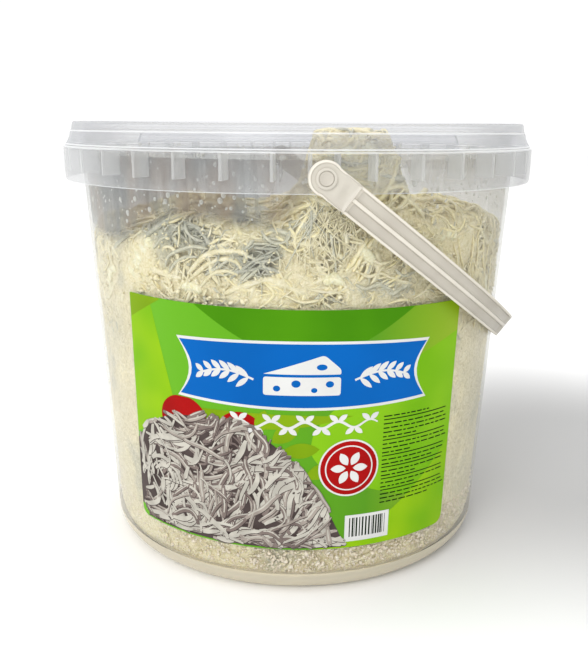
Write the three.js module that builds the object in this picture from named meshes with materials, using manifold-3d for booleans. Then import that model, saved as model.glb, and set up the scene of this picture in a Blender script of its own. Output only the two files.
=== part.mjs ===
// A round clear pail with a press-fit lid and a swinging strap handle, filled with shredded mould-ripened cheese.
// Millimetres, +Z up. The origin is the middle of the foot ring's underside, on the pail's axis.
// The handle's pivots are on the Y axis, and the handle hangs towards +X.
import * as THREE from 'three';
import { mergeVertices } from 'three/addons/utils/BufferGeometryUtils.js';
import Module from 'manifold-3d';

const wasm = await Module();
wasm.setup();

// ---- Driving dimensions -------------------------------------------------------------------------------------------
const SEGMENTS = 52;            // facets round the pail

const WALL = 1.5;               // wall of the pail
const FOOT_R = 95.8;            // outer radius that the tapered wall would have at the floor
const TAPER = 0.0483;           // growth of the wall's radius for each millimetre of height
const CORNER_R = 10.4;          // rounding between wall and base
const BASE_LIFT = 2.6;          // the base is raised inside the foot ring
const FOOT_RING_R = 80.5;       // inner radius of the foot ring

const COLLAR_R = 113;           // outer radius of the collar under the lid
const COLLAR_BOTTOM = 177.9;
const COLLAR_TOP = 193.4;
const COLLAR_WALL = 1.4;
const RIM_TOP = 199.2;          // the pail's own rim, inside the lid's channel

const RIB_STEP = 10;            // degrees between the webs behind the collar
const RIB_BOTTOM = 182.4;
const RIB_THICK = 1.2;
const PIVOT_RIB_ANGLE = 2.7;    // the two webs beside each pivot boss, in degrees

const PIVOT_Z = 184;
const PIN_R = 2.6;
const PIN_END = 117.3;          // how far the pins reach from the axis
const BOSS_R = 3.8;

const LID_TOP = 204.2;
const LID_PANEL = 202.8;        // top of the lid's flat panel
const LID_WALL = 1.2;
const LID_GAP = 0.3;            // clearance between lid and pail
const PAD_FROM = -39.5;         // raised pad on the lid's skirt, in degrees from the front pivot
const PAD_TO = 29.5;
const PAD_RAISE = 0.7;

const STRAP_W = 12;             // width of the handle's strap
const STRAP_T = 3.0;            // its thickness over the rails
const STRAP_RECESS = 1.5;       // depth of the two channels in the outer face
const RAIL_W = 1.4;             // width of each of the three rails
const HANDLE_HALF = 115.9;      // from the pail's axis to the middle of the strap, at the pivots
const HANDLE_REACH = 133.1;     // from the pivots to the middle of the strap, at its far end
const HANDLE_POWER = 1.9;       // a little less than 2, so slightly more pointed than an ellipse
const HANDLE_DROP = 37.5;       // how far below level the handle hangs, in degrees
const END_R = 6.6;              // rounded end plate round each pivot
const END_LENGTH = 12.5;        // from the pivot to the shoulder where the channels start
const PIN_CLEARANCE = 0.4;
const HANDLE_STEPS = 34;

const LABEL_FROM = -51.5;       // the label's edges at mid-height, in degrees from the front pivot
const LABEL_TO = 39.3;
const LABEL_BOTTOM = 23;
const LABEL_TOP = 132;
const LABEL_T = 0.4;
const LABEL_GAP = 0.3;
const LABEL_CORNER = 5;
const LABEL_TILT = 0.6;         // the label is wrapped a little crooked, in degrees, its right side low
const LABEL_COLUMNS = 24;

const CHEESE_GAP = 0.4;         // clearance between the heap and the pail
const CORE_INSET = 4.6;         // the heap's core lies this far inside its outermost shreds
const HEAP_LEVEL = 158;         // usual height of the heap's top
const SHRED_STEPS = 4;
const CORE_SEGMENTS = 26;
const TOP_SHREDS = 22;
const SIDE_SHREDS = 48;
const HEAP_LUMPS = [            // where each lump stands, from the front pivot and the axis, and how high and wide
  { angle: 9, r: 87, height: 70, spread: 11.5 },
  { angle: 20, r: 66, height: 8, spread: 34 },
  { angle: -28, r: 88, height: 10, spread: 20 },
  { angle: 44, r: 84, height: 9, spread: 22 },
  { angle: 140, r: 55, height: 10, spread: 26 },
  { angle: -120, r: 62, height: 7, spread: 22 },
  { angle: 85, r: 80, height: 3, spread: 24 },
];

// ---- Helpers ------------------------------------------------------------------------------------------------------
const rad = THREE.MathUtils.degToRad;
const wallRadius = (z) => FOOT_R + TAPER * z;          // outside of the pail's wall
const innerRadius = (z) => wallRadius(z) - WALL;       // inside of it

// The point at an angle from the front pivot (-Y), positive towards +X.
const around = (degrees, r, z) => new THREE.Vector3(r * Math.sin(rad(degrees)), -r * Math.cos(rad(degrees)), z);

// A small seeded generator, so that the heap is the same each time.
let seed = 20417;
const random = () => {
  seed = (seed * 1664525 + 1013904223) % 4294967296;
  return seed / 4294967296;
};
const between = (low, high) => low + (high - low) * random();

function arc(centreR, centreZ, radius, fromDegrees, toDegrees, steps) {
  return Array.from({ length: steps + 1 }, (_, i) => {
    const a = rad(fromDegrees + ((toDegrees - fromDegrees) * i) / steps);
    return [centreR + radius * Math.cos(a), centreZ + radius * Math.sin(a)];
  });
}

// A profile of [radius, height] pairs turned round the Z axis.
function turned(profile, segments = SEGMENTS) {
  const points = profile.map(([r, z]) => new THREE.Vector2(r, z));
  return new THREE.LatheGeometry(points, segments).rotateX(Math.PI / 2);
}

// A closed geometry as a solid for cutting and joining, turned the right way out.
function solid(geometry) {
  let shape = geometry.clone();
  shape.deleteAttribute('normal');
  shape.deleteAttribute('uv');
  shape = mergeVertices(shape, 1e-4);
  const corners = Array.from(shape.index.array);
  const triangles = [];
  for (let i = 0; i < corners.length; i += 3) {
    const [a, b, c] = corners.slice(i, i + 3);
    if (a !== b && b !== c && c !== a) triangles.push(a, b, c);
  }
  const make = (order) =>
    new wasm.Manifold(new wasm.Mesh({
      numProp: 3,
      vertProperties: Float32Array.from(shape.attributes.position.array),
      triVerts: Uint32Array.from(order),
    }));
  const body = make(triangles);
  return body.volume() >= 0 ? body : make(triangles.reverse());
}

function geometryOf(body) {
  const { vertProperties, triVerts } = body.getMesh();
  const geometry = new THREE.BufferGeometry();
  geometry.setAttribute('position', new THREE.BufferAttribute(vertProperties, 3));
  geometry.setIndex(new THREE.BufferAttribute(triVerts, 1));
  geometry.computeVertexNormals();
  return geometry;
}

function part(name, body, colour, roughness, opacity = 1) {
  const material = new THREE.MeshStandardMaterial({
    color: colour, roughness, metalness: 0, opacity, transparent: opacity < 1,
  });
  const mesh = new THREE.Mesh(geometryOf(body), material);
  mesh.name = name;
  return mesh;
}

// ---- The pail -----------------------------------------------------------------------------------------------------
function pailShell() {
  const floor = BASE_LIFT + WALL;
  const innerCorner = CORNER_R - WALL;
  const skirtIn = COLLAR_R - COLLAR_WALL;
  return turned([
    [0, BASE_LIFT],
    [FOOT_RING_R - 1.2, BASE_LIFT],
    [FOOT_RING_R, 0],
    ...arc(wallRadius(CORNER_R) - CORNER_R, CORNER_R, CORNER_R, -90, 0, 4),
    [wallRadius(COLLAR_TOP - COLLAR_WALL), COLLAR_TOP - COLLAR_WALL],
    [skirtIn, COLLAR_TOP - COLLAR_WALL],
    [skirtIn, COLLAR_BOTTOM + 0.3],
    [skirtIn + 0.4, COLLAR_BOTTOM],
    [COLLAR_R - 0.6, COLLAR_BOTTOM],
    [COLLAR_R - 0.2, COLLAR_BOTTOM + 1.2],
    [COLLAR_R, COLLAR_BOTTOM + 4],
    [COLLAR_R, COLLAR_TOP - 0.5],
    [COLLAR_R - 0.5, COLLAR_TOP],
    [wallRadius(COLLAR_TOP), COLLAR_TOP],
    [wallRadius(RIM_TOP) - 0.1, RIM_TOP - 2],
    [wallRadius(RIM_TOP) + 0.4, RIM_TOP - 0.9],
    [wallRadius(RIM_TOP) - 0.3, RIM_TOP],
    [innerRadius(RIM_TOP) + 0.3, RIM_TOP],
    [innerRadius(RIM_TOP), RIM_TOP - 0.6],
    ...arc(innerRadius(innerCorner + floor) - innerCorner, floor + innerCorner, innerCorner, 0, -90, 3),
    [0, floor],
  ]);
}

// A web between the wall and the collar's skirt.
function rib(degrees) {
  const from = wallRadius(RIB_BOTTOM) - 0.4;
  const to = COLLAR_R - COLLAR_WALL / 2;
  const height = COLLAR_TOP - COLLAR_WALL / 2 - RIB_BOTTOM;
  const web = new THREE.BoxGeometry(RIB_THICK, to - from, height);
  web.translate(0, -(from + to) / 2, RIB_BOTTOM + height / 2);
  return solid(web.rotateZ(rad(degrees)));
}

// Along Y, from one radius to another.
function rod(radius, fromR, toR, sides, side) {
  const shape = new THREE.CylinderGeometry(radius, radius, toR - fromR, sides);
  shape.translate(0, (side * (fromR + toR)) / 2, 0);
  return solid(shape.translate(0, 0, PIVOT_Z));
}

function pail() {
  let body = solid(pailShell());
  for (let angle = RIB_STEP; angle < 360; angle += RIB_STEP) {
    if (angle !== 180) body = body.add(rib(angle));
  }
  for (const side of [-1, 1]) {
    const facing = side < 0 ? 0 : 180;
    body = body.add(rib(facing - PIVOT_RIB_ANGLE)).add(rib(facing + PIVOT_RIB_ANGLE));
    const boss = rod(BOSS_R, wallRadius(PIVOT_Z) - 0.5, COLLAR_R - COLLAR_WALL / 2, 20, side);
    const pin = rod(PIN_R, COLLAR_R - COLLAR_WALL, PIN_END, 20, side);
    body = body.add(boss).add(pin);
  }
  return body;
}

// ---- The lid ------------------------------------------------------------------------------------------------------
// The skirt's outside, from the panel's rim down to the collar.
const LID_OUTSIDE = [
  [107.4, LID_TOP], [108.5, LID_TOP - 0.9], [109.0, 200.7], [109.4, 200.1],
  [109.6, 199.5], [110.1, 197.4], [111.0, 195.4], [112.2, COLLAR_TOP + LID_GAP],
];

function lid() {
  const roof = LID_TOP - LID_WALL;
  const channelIn = innerRadius(RIM_TOP) - LID_GAP - 0.1;
  const shell = turned([
    [0, LID_PANEL - LID_WALL],
    [channelIn - 2.2, LID_PANEL - LID_WALL],
    [channelIn - LID_WALL, LID_PANEL - LID_WALL - 1],
    [channelIn - LID_WALL, COLLAR_TOP + 1.2],
    [channelIn, COLLAR_TOP + 1.2],
    [channelIn, roof - 1],
    [channelIn + 1, roof],
    [107.2, roof],
    [108.2, 199.4],
    [110.6, COLLAR_TOP + LID_GAP],
    ...LID_OUTSIDE.slice().reverse(),
    [100.6, LID_TOP],
    [99.4, LID_PANEL],
    [0, LID_PANEL],
  ]);
  const padProfile = LID_OUTSIDE.slice(4).map(([r, z]) => [r + PAD_RAISE, z]);
  const ring = solid(turned([
    [109, 199.2], [109.4, COLLAR_TOP + 1.4], [111, COLLAR_TOP + LID_GAP],
    ...padProfile.slice().reverse(), [109, 199.2],
  ]));
  return solid(shell).add(ring.intersect(sector(PAD_FROM, PAD_TO)));
}

// A tall wedge between two angles, which cuts a ring down to an arc of it.
function sector(fromDegrees, toDegrees) {
  const outline = new THREE.Shape([new THREE.Vector2(0, 0)].concat(
    [0, 0.5, 1].map((share) => {
      const p = around(fromDegrees + share * (toDegrees - fromDegrees), 200, 0);
      return new THREE.Vector2(p.x, p.y);
    }),
  ));
  const wedge = new THREE.ExtrudeGeometry(outline, { depth: 2 * LID_TOP, bevelEnabled: false });
  return solid(wedge.translate(0, 0, -LID_TOP / 2));
}

// ---- The handle, in its own plane: X away from the pivots, Y along their axis ---------------------------------------
class HandleCurve extends THREE.Curve {
  getPoint(t, target = new THREE.Vector3()) {
    const angle = Math.PI * t;
    const bend = (v) => Math.sign(v) * Math.abs(v) ** (2 / HANDLE_POWER);
    return target.set(HANDLE_REACH * bend(Math.sin(angle)), -HANDLE_HALF * bend(Math.cos(angle)), 0);
  }
}

// The strap's section: a flat back, and three rails with two channels between them on the outer face.
function strapSection() {
  const w = STRAP_W / 2;
  const t = STRAP_T / 2;
  const low = STRAP_RECESS - t;
  const c = RAIL_W / 2;
  return new THREE.Shape([
    [-w, t], [-w, -t], [-w + RAIL_W, -t], [-w + RAIL_W + 0.3, low], [-c - 0.3, low], [-c, -t],
    [c, -t], [c + 0.3, low], [w - RAIL_W - 0.3, low], [w - RAIL_W, -t], [w, -t], [w, t],
  ].map(([x, y]) => new THREE.Vector2(x, y)));
}

function strap() {
  const along = new THREE.ExtrudeGeometry(strapSection(), {
    steps: HANDLE_STEPS, bevelEnabled: false, extrudePath: new HandleCurve(),
  });
  return solid(along);
}

// The plain end plate round a pivot, as thick as the strap, with a low ring round the hole.
function endPlate(side) {
  const outline = new THREE.Shape();
  outline.moveTo(END_LENGTH, -STRAP_W / 2);
  outline.lineTo(END_LENGTH, STRAP_W / 2);
  outline.lineTo(2, END_R - 0.1);
  outline.absarc(0, 0, END_R, Math.PI / 2, (3 * Math.PI) / 2, false);
  outline.lineTo(2, -END_R + 0.1);
  const plate = new THREE.ExtrudeGeometry(outline, { depth: STRAP_T, bevelEnabled: false, curveSegments: 12 });
  plate.translate(0, 0, -STRAP_T / 2).rotateX(Math.PI / 2).translate(0, side * HANDLE_HALF, 0);
  const ringRod = (radius, thick) => {
    const shape = new THREE.CylinderGeometry(radius, radius, thick, 24);
    return solid(shape.translate(0, side * (HANDLE_HALF - STRAP_T / 2 + thick / 2), 0));
  };
  const ring = ringRod(PIN_R + PIN_CLEARANCE + 1, side < 0 ? STRAP_T : STRAP_T + 0.4);
  return { plate: solid(plate).add(ring), hole: ringRod(PIN_R + PIN_CLEARANCE, 3 * STRAP_T) };
}

function handle() {
  const front = endPlate(-1);
  const back = endPlate(1);
  const stub = new THREE.BoxGeometry(END_LENGTH + 8, 3 * HANDLE_HALF, 2 * STRAP_W);
  const ends = solid(stub.translate((END_LENGTH - 8) / 2 - 0.1, 0, 0));
  const body = strap().subtract(ends).add(front.plate).add(back.plate);
  return body.subtract(front.hole).subtract(back.hole);
}

// ---- The label ----------------------------------------------------------------------------------------------------
// A flat sheet bent round the pail: its width is a length along the wall, so its sides stand square to its edges.
function label() {
  const middleR = wallRadius((LABEL_BOTTOM + LABEL_TOP) / 2);
  const middle = (LABEL_FROM + LABEL_TO) / 2;
  const halfWidth = (rad(LABEL_TO - LABEL_FROM) * middleR) / 2;
  const rows = [0, 0.12, 0.45, 1].map((share) => share * LABEL_CORNER).concat(LABEL_TOP - LABEL_BOTTOM);
  const sheet = new THREE.BoxGeometry(2, 1, LABEL_T, LABEL_COLUMNS, rows.length - 1, 1);
  const position = sheet.attributes.position;
  for (let i = 0; i < position.count; i += 1) {
    const up = rows[Math.round((position.getY(i) + 0.5) * (rows.length - 1))];
    const fromCorner = Math.max(0, LABEL_CORNER - up);
    const cut = LABEL_CORNER - Math.sqrt(LABEL_CORNER ** 2 - fromCorner ** 2);
    const [x, y] = [position.getX(i) * (halfWidth - cut), LABEL_BOTTOM + up - (LABEL_BOTTOM + LABEL_TOP) / 2];
    const z = (LABEL_BOTTOM + LABEL_TOP) / 2 + y - x * Math.tan(rad(LABEL_TILT));
    const turn = THREE.MathUtils.radToDeg((x + y * Math.tan(rad(LABEL_TILT))) / wallRadius(z));
    const place = around(middle + turn, wallRadius(z) + LABEL_GAP + LABEL_T / 2 + position.getZ(i), z);
    position.setXYZ(i, place.x, place.y, place.z);
  }
  return solid(sheet);
}

// ---- The cheese: one heap with a core and the shreds that show on its sides and top ----------------------------------
const heapFloor = BASE_LIFT + WALL + CHEESE_GAP;
const heapRadius = (z) => Math.min(innerRadius(z), innerRadius(RIM_TOP) - LID_WALL - 1.2) - CHEESE_GAP;

// Slow waves that make the heap uneven; the result lies between -1 and 1.
const uneven = (x, y, z) =>
  (Math.sin(0.11 * x + 1.3) + Math.sin(0.13 * y - 0.07 * x) + Math.sin(0.17 * z + 0.09 * y + 2.1)) / 3;

// The top of the heap, with lumps on it; the tallest lump is pressed against the lid.
function heapTop(x, y) {
  const rise = HEAP_LUMPS.reduce((sum, { angle, r, height, spread }) => {
    const centre = around(angle, r, 0);
    const apart = (x - centre.x) ** 2 + (y - centre.y) ** 2;
    return sum + height * Math.exp(-apart / (2 * spread ** 2));
  }, 0);
  return Math.min(HEAP_LEVEL + rise + 3 * uneven(x, y, 0), LID_PANEL - LID_WALL - CHEESE_GAP - 0.3);
}

// Everything that the heap may fill inside the shut pail.
function cavity() {
  const corner = CORNER_R - WALL;
  const top = LID_PANEL - LID_WALL - CHEESE_GAP;
  const centreR = innerRadius(corner + heapFloor) - corner;
  return solid(turned([
    [0, heapFloor],
    ...arc(centreR, heapFloor + corner, corner - CHEESE_GAP / 2, -90, 0, 4),
    [heapRadius(COLLAR_TOP - 2), COLLAR_TOP - 2], [heapRadius(top), top], [0, top],
  ], SEGMENTS / 2));
}

function heapCore() {
  const side = [0.08, 0.22, 0.36, 0.5, 0.64, 0.78, 0.9].map((share) => [1, share]);
  const rows = [[0, 0], [0.86, 0], ...side, [0.97, 0.985], ...[0.86, 0.7, 0.53, 0.36, 0.18, 0].map((r) => [r, 1])];
  const core = turned(rows, CORE_SEGMENTS);
  const position = core.attributes.position;
  for (let i = 0; i < position.count; i += 1) {
    const [x, y, share] = [position.getX(i), position.getY(i), position.getZ(i)];
    const top = heapTop(x * innerRadius(HEAP_LEVEL), y * innerRadius(HEAP_LEVEL));
    const z = heapFloor + 0.3 + share * (top - 1 - heapFloor);
    const r = heapRadius(z) - CORE_INSET + 1.6 * uneven(90 * x, 90 * y, z);
    position.setXYZ(i, x * r, y * r, z);
  }
  return solid(core);
}

function shred(points, width, thick) {
  const [w, t] = [width / 2, thick / 2];
  const section = new THREE.Shape([[-w, -t], [w, -t], [0, t]].map(([x, y]) => new THREE.Vector2(x, y)));
  return solid(new THREE.ExtrudeGeometry(section, {
    steps: SHRED_STEPS, bevelEnabled: false, extrudePath: new THREE.CatmullRomCurve3(points),
  }));
}

// Pressed flat against the inside of the wall, both ends tucked into the core.
function sideShred(angle, z) {
  const thick = between(3, 5);
  const [reach, climb, bow] = [between(8, 17), between(-16, 16), between(-9, 9)];
  const points = [-1, -0.5, 0, 0.5, 1].map((share) => {
    const height = z + climb * share + bow * (1 - share * share);
    const depth = Math.abs(share) === 1 ? CORE_INSET + 3 : thick * 0.8;
    return around(angle + reach * share, heapRadius(height) - depth, height);
  });
  return shred(points, thick * between(0.9, 1.3), thick);
}

// Lying or arching over the top.
function topShred(x, y) {
  const thick = between(3, 5.5);
  const heading = between(0, 2 * Math.PI);
  const [length, bow, arch] = [between(24, 48), between(-12, 12), between(1, 4)];
  const points = [-1, -0.5, 0, 0.5, 1].map((share) => {
    const [ahead, aside] = [(length * share) / 2, bow * (1 - share * share)];
    const px = x + ahead * Math.cos(heading) - aside * Math.sin(heading);
    const py = y + ahead * Math.sin(heading) + aside * Math.cos(heading);
    const lift = Math.abs(share) === 1 ? -4 : arch * (1 - share * share);
    return new THREE.Vector3(px, py, heapTop(px, py) + lift);
  });
  return shred(points, thick * between(0.8, 1.2), thick);
}

function cheese() {
  const golden = 180 * (3 - Math.sqrt(5));
  const turns = (i) => ((i * golden + 180) % 360) - 180;
  const pieces = [heapCore()];
  for (let i = 0; i < TOP_SHREDS; i += 1) {
    const place = around(turns(i), 92 * Math.sqrt((i + 0.5) / TOP_SHREDS), 0);
    pieces.push(topShred(place.x, place.y));
  }
  for (let i = 0; i < SIDE_SHREDS; i += 1) {
    const angle = turns(i);
    const z = 14 + (HEAP_LEVEL - 18) * ((i + 0.5) / SIDE_SHREDS) ** 0.6;
    const behindLabel = angle > LABEL_FROM && angle < LABEL_TO && z > LABEL_BOTTOM && z < LABEL_TOP;
    if (!behindLabel) pieces.push(sideShred(angle, z));
  }
  return largest(wasm.Manifold.union(pieces).intersect(cavity()));
}

// The biggest of the separate bodies that a cut leaves.
function largest(body) {
  return body.decompose().sort((a, b) => b.volume() - a.volume())[0];
}

// ---- The whole ----------------------------------------------------------------------------------------------------
const swing = new THREE.Group();
swing.position.set(0, 0, PIVOT_Z);
swing.rotation.y = rad(HANDLE_DROP);
swing.add(part('handle', handle(), 0xe6e0d8, 0.38));

const group = new THREE.Group();
group.add(
  part('pail', pail(), 0xd9dcdc, 0.15, 0.35),
  part('lid', lid(), 0xd9dcdc, 0.15, 0.4),
  part('cheese', cheese(), 0xe2ddc4, 0.6),
  part('label', label(), 0x6fb32d, 0.35),
  swing,
);
group.updateMatrixWorld(true);

export default group;
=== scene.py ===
"""A round clear pail with a press-fit lid and a swinging strap handle, full of shredded mould-ripened cheese.

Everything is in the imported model's frame: +Z up, the origin under the pail's middle, the pivots along Y.
Sizes below are in millimetres, as in the part's source; MM turns them to metres.
"""
import math

import bmesh
import bpy
import numpy as np
from mathutils import Matrix, Vector, noise


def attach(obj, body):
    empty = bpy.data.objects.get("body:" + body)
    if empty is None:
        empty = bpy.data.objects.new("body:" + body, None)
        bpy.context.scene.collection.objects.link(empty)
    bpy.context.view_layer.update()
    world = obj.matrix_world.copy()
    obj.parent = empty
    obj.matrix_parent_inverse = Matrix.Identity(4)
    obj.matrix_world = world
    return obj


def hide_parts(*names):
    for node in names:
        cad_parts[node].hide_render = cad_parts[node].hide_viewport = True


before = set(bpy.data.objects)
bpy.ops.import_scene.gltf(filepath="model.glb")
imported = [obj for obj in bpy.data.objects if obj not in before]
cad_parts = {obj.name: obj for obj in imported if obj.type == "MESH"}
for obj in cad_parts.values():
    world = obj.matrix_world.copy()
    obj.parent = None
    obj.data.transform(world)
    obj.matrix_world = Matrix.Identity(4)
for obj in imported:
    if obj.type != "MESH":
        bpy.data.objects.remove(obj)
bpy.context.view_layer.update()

MM = 0.001

# ---- Sizes of the pail, lid, label and handle, as in the part's source ----
WALL = 1.5
FOOT_R = 95.8                # outer radius that the tapered wall would have at the floor
TAPER = 0.0483               # growth of the wall's radius for each millimetre of height
CORNER_R = 10.4
BASE_LIFT = 2.6
FLOOR_Z = BASE_LIFT + WALL
FOOT_RING_R = 80.5
COLLAR_R = 113
COLLAR_BOTTOM = 177.9
COLLAR_TOP = 193.4
COLLAR_WALL = 1.4
RIM_TOP = 199.2
RIB_BOTTOM = 182.4
RIB_THICK = 1.2
PIVOT_RIB_ANGLE = 2.7
PIVOT_Z = 184
PIN_R, PIN_END, BOSS_R = 2.6, 117.3, 3.8
LID_TOP, LID_PANEL, LID_WALL, LID_GAP = 204.2, 202.8, 1.2, 0.3
PAD_FROM, PAD_TO, PAD_RAISE = -39.5, 29.5, 0.7
STRAP_W, STRAP_T, STRAP_RECESS, RAIL_W = 12, 3.0, 1.5, 1.4
HANDLE_HALF, HANDLE_REACH, HANDLE_POWER, HANDLE_DROP = 115.9, 133.1, 1.9, 37.5
END_R, END_LENGTH, HOLE_R = 6.6, 12.5, 2.85
LABEL_FROM, LABEL_TO, LABEL_BOTTOM, LABEL_TOP, LABEL_CORNER = -51.5, 39.3, 23, 132, 5
LABEL_TILT = 0.6
HEAP_LEVEL = 158
HEAP_LUMPS = [(9, 87, 70, 11.5), (20, 66, 8, 34), (-28, 88, 10, 20), (44, 84, 9, 22), (140, 55, 10, 26),
              (-120, 62, 7, 22), (85, 80, 3, 24)]


def wall_radius(z):
    return FOOT_R + TAPER * z


def inner_radius(z):
    return wall_radius(z) - WALL


def at(degrees, r, z):
    """The place at an angle from the front pivot (-Y), positive towards +X."""
    a = math.radians(degrees)
    return Vector((r * math.sin(a), -r * math.cos(a), z)) * MM


# ---- Materials ----
def srgb(code):
    """An sRGB hex colour as linear light."""
    channels = (int(code[i:i + 2], 16) / 255 for i in (0, 2, 4))
    return tuple(c / 12.92 if c <= 0.04045 else ((c + 0.055) / 1.055) ** 2.4 for c in channels) + (1.0,)


def add(tree, kind, inputs=None, stops=(), **settings):
    """Adds one node with its settings; inputs gives each socket a value or another node's output."""
    node = tree.nodes.new(kind)
    for name, value in settings.items():
        setattr(node, name, value)
    for socket, value in (inputs or {}).items():
        if isinstance(value, bpy.types.NodeSocket):
            tree.links.new(value, node.inputs[socket])
        else:
            node.inputs[socket].default_value = value
    if stops:
        elements = node.color_ramp.elements
        while len(elements) < len(stops):
            elements.new(0.5)
        for element, (place, code) in zip(elements, stops):
            element.position, element.color = place, srgb(code)
    return node


def new_material(name):
    material = bpy.data.materials.new(name)
    material.use_nodes = True
    material.node_tree.nodes.clear()
    return material, material.node_tree


def spot(tree):
    return add(tree, "ShaderNodeTexCoord").outputs["Object"]


def across(tree):
    return add(tree, "ShaderNodeSeparateXYZ", {0: spot(tree)}).outputs["X"]


def facing(tree, blend):
    return add(tree, "ShaderNodeLayerWeight", {"Blend": blend}).outputs["Facing"]


def attribute(tree, name):
    return add(tree, "ShaderNodeAttribute", attribute_name=name).outputs["Fac"]


def remap(tree, value, low, high, start=0.3, end=0.7, **settings):
    """A value brought from the span between start and end to the span between low and high."""
    inputs = {"Value": value, "From Min": start, "From Max": end, "To Min": low, "To Max": high}
    return add(tree, "ShaderNodeMapRange", inputs, **settings).outputs[0]


def ramp(tree, value, *stops):
    return add(tree, "ShaderNodeValToRGB", {"Fac": value}, stops).outputs["Color"]


def blend(tree, share, first, second):
    return add(tree, "ShaderNodeMix", {0: share, 6: first, 7: second}, data_type="RGBA").outputs[2]


def relief(tree, height, strength, distance):
    """A bump whose height is given in millimetres."""
    inputs = {"Height": height, "Strength": strength, "Distance": distance * MM}
    return add(tree, "ShaderNodeBump", inputs).outputs[0]


def surface(tree, colour, roughness, **inputs):
    """The main shader; an input's name is given with underscores for its spaces."""
    rest = {name.replace("_", " "): value for name, value in inputs.items()}
    return add(tree, "ShaderNodeBsdfPrincipled", {"Base Color": colour, "Roughness": roughness, **rest})


def show(tree, shader):
    add(tree, "ShaderNodeOutputMaterial", {"Surface": shader.outputs[0]})


def see_through(tree, share, clear, colour, roughness, ior):
    """Lets light straight through where share is 0, tinted a little, and shows the body where it is 1."""
    see = add(tree, "ShaderNodeBsdfTransparent", {"Color": srgb(clear)})
    body = surface(tree, colour, roughness, IOR=ior)
    show(tree, add(tree, "ShaderNodeMixShader", {0: share, 1: see.outputs[0], 2: body.outputs[0]}))


def grain(tree, size, detail=3.0, stretch=(1, 1, 1)):
    """Noise on Object coordinates whose lumps are about `size` millimetres across."""
    place = spot(tree)
    if stretch != (1, 1, 1):
        place = add(tree, "ShaderNodeMapping", {"Vector": place, "Scale": stretch}).outputs[0]
    return add(tree, "ShaderNodeTexNoise", {
        "Vector": place, "Scale": 1 / (size * MM), "Detail": detail, "Roughness": 0.55}).outputs["Fac"]


def matted(tree, size, swirl, detail=5.0):
    """Noise drawn out into swirling threads about `size` millimetres wide, as in felted shreds."""
    return add(tree, "ShaderNodeTexNoise", {
        "Vector": spot(tree), "Scale": 1 / (size * MM), "Detail": detail, "Roughness": 0.6,
        "Distortion": swirl}).outputs["Fac"]


def clear_polypropylene(name, haze, edge_haze, tint, roughness, clear="FAFBFB", ior=1.5):
    """Random-copolymer polypropylene, injection moulded: clear but a little milky, more so seen edge-on, with
    a gloss from the polished mould."""
    material, tree = new_material(name)
    milk = remap(tree, facing(tree, 0.35), haze, edge_haze, 0.25, 1.0)
    see_through(tree, milk, clear, srgb(tint), roughness, ior)
    return material


def misted_and_shaded_polypropylene():
    """The inside of the wall: clear where the cheese lies on it, misted with runs of condensation above. The
    mesh's own attribute says where. The veil's dark grey-brown tone, darkest at the left and lighter to the
    right, is painted shade for the shaded cheese and wall seen through it."""
    material, tree = new_material("polypropylene_misted_inside_painted_shade")
    runs = remap(tree, grain(tree, 3.5, stretch=(1, 1, 0.10)), 0.72, 1.0, 0.38, 0.66)
    milk = add(tree, "ShaderNodeMath", {0: attribute(tree, "mist_and_shade"), 1: runs}, operation="MULTIPLY").outputs[0]
    # the veil's colour is painted shade: dark grey-brown, blended lighter towards the right
    tone = ramp(tree, grain(tree, 16, detail=1, stretch=(1, 1, 0.5)),
                (0.36, "5A6167"), (0.5, "6A6A67"), (0.62, "76685A"))
    to_right = remap(tree, across(tree), 0, 1, -8 * MM, 34 * MM)
    see_through(tree, milk, "FCFCFC", blend(tree, to_right, tone, srgb("B0A896")), 0.35, 1.4)
    return material


def moist_curd(tree, colour, rough, bump, scatter):
    """Skimmed-milk curd ripened with mould: moist, with a soft gloss; light enters it a little."""
    show(tree, surface(tree, colour, rough, Normal=bump, IOR=1.4, Subsurface_Weight=scatter,
                       Subsurface_Radius=(2.6, 2.0, 1.2), Subsurface_Scale=MM))


def shredded_curd(name, *stops, patch=3, roughness=0.42, bump=0.4, bump_size=0.8, swirl=1.2):
    """Curd pulled to shreds, chunks or crumbs."""
    material, tree = new_material(name)
    rough = remap(tree, grain(tree, patch * 0.6), roughness - 0.12, roughness + 0.12)
    skin = relief(tree, matted(tree, bump_size, swirl), bump, bump_size * 0.6)
    moist_curd(tree, ramp(tree, matted(tree, patch, swirl), *stops), rough, skin, 0.1)
    return material


def felted_curd():
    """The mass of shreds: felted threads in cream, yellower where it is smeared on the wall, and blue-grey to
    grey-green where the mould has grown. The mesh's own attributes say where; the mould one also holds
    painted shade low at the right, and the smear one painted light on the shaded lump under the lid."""
    material, tree = new_material("felted_curd")
    threads = matted(tree, 2.6, 2.2)
    cream = ramp(tree, threads, (0.26, "B0A47C"), (0.38, "D4C79C"), (0.50, "EBDFB8"), (0.66, "F9F0D2"))
    butter = ramp(tree, threads, (0.26, "CDBA86"), (0.40, "EADDAA"), (0.54, "F7ECC6"), (0.70, "FCF5DA"))
    blue = ramp(tree, threads, (0.28, "8B8C7E"), (0.42, "A6A696"), (0.56, "BDBBA8"), (0.72, "D6D2BE"))
    fresh = blend(tree, attribute(tree, "smeared_and_lit"), cream, butter)
    tone = blend(tree, attribute(tree, "mould_and_shade"), fresh, blue)
    rough = remap(tree, grain(tree, 5), 0.34, 0.6)
    moist_curd(tree, tone, rough, relief(tree, matted(tree, 1.5, 2.2, 4), 0.85, 0.9), 0.12)
    return material
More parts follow.
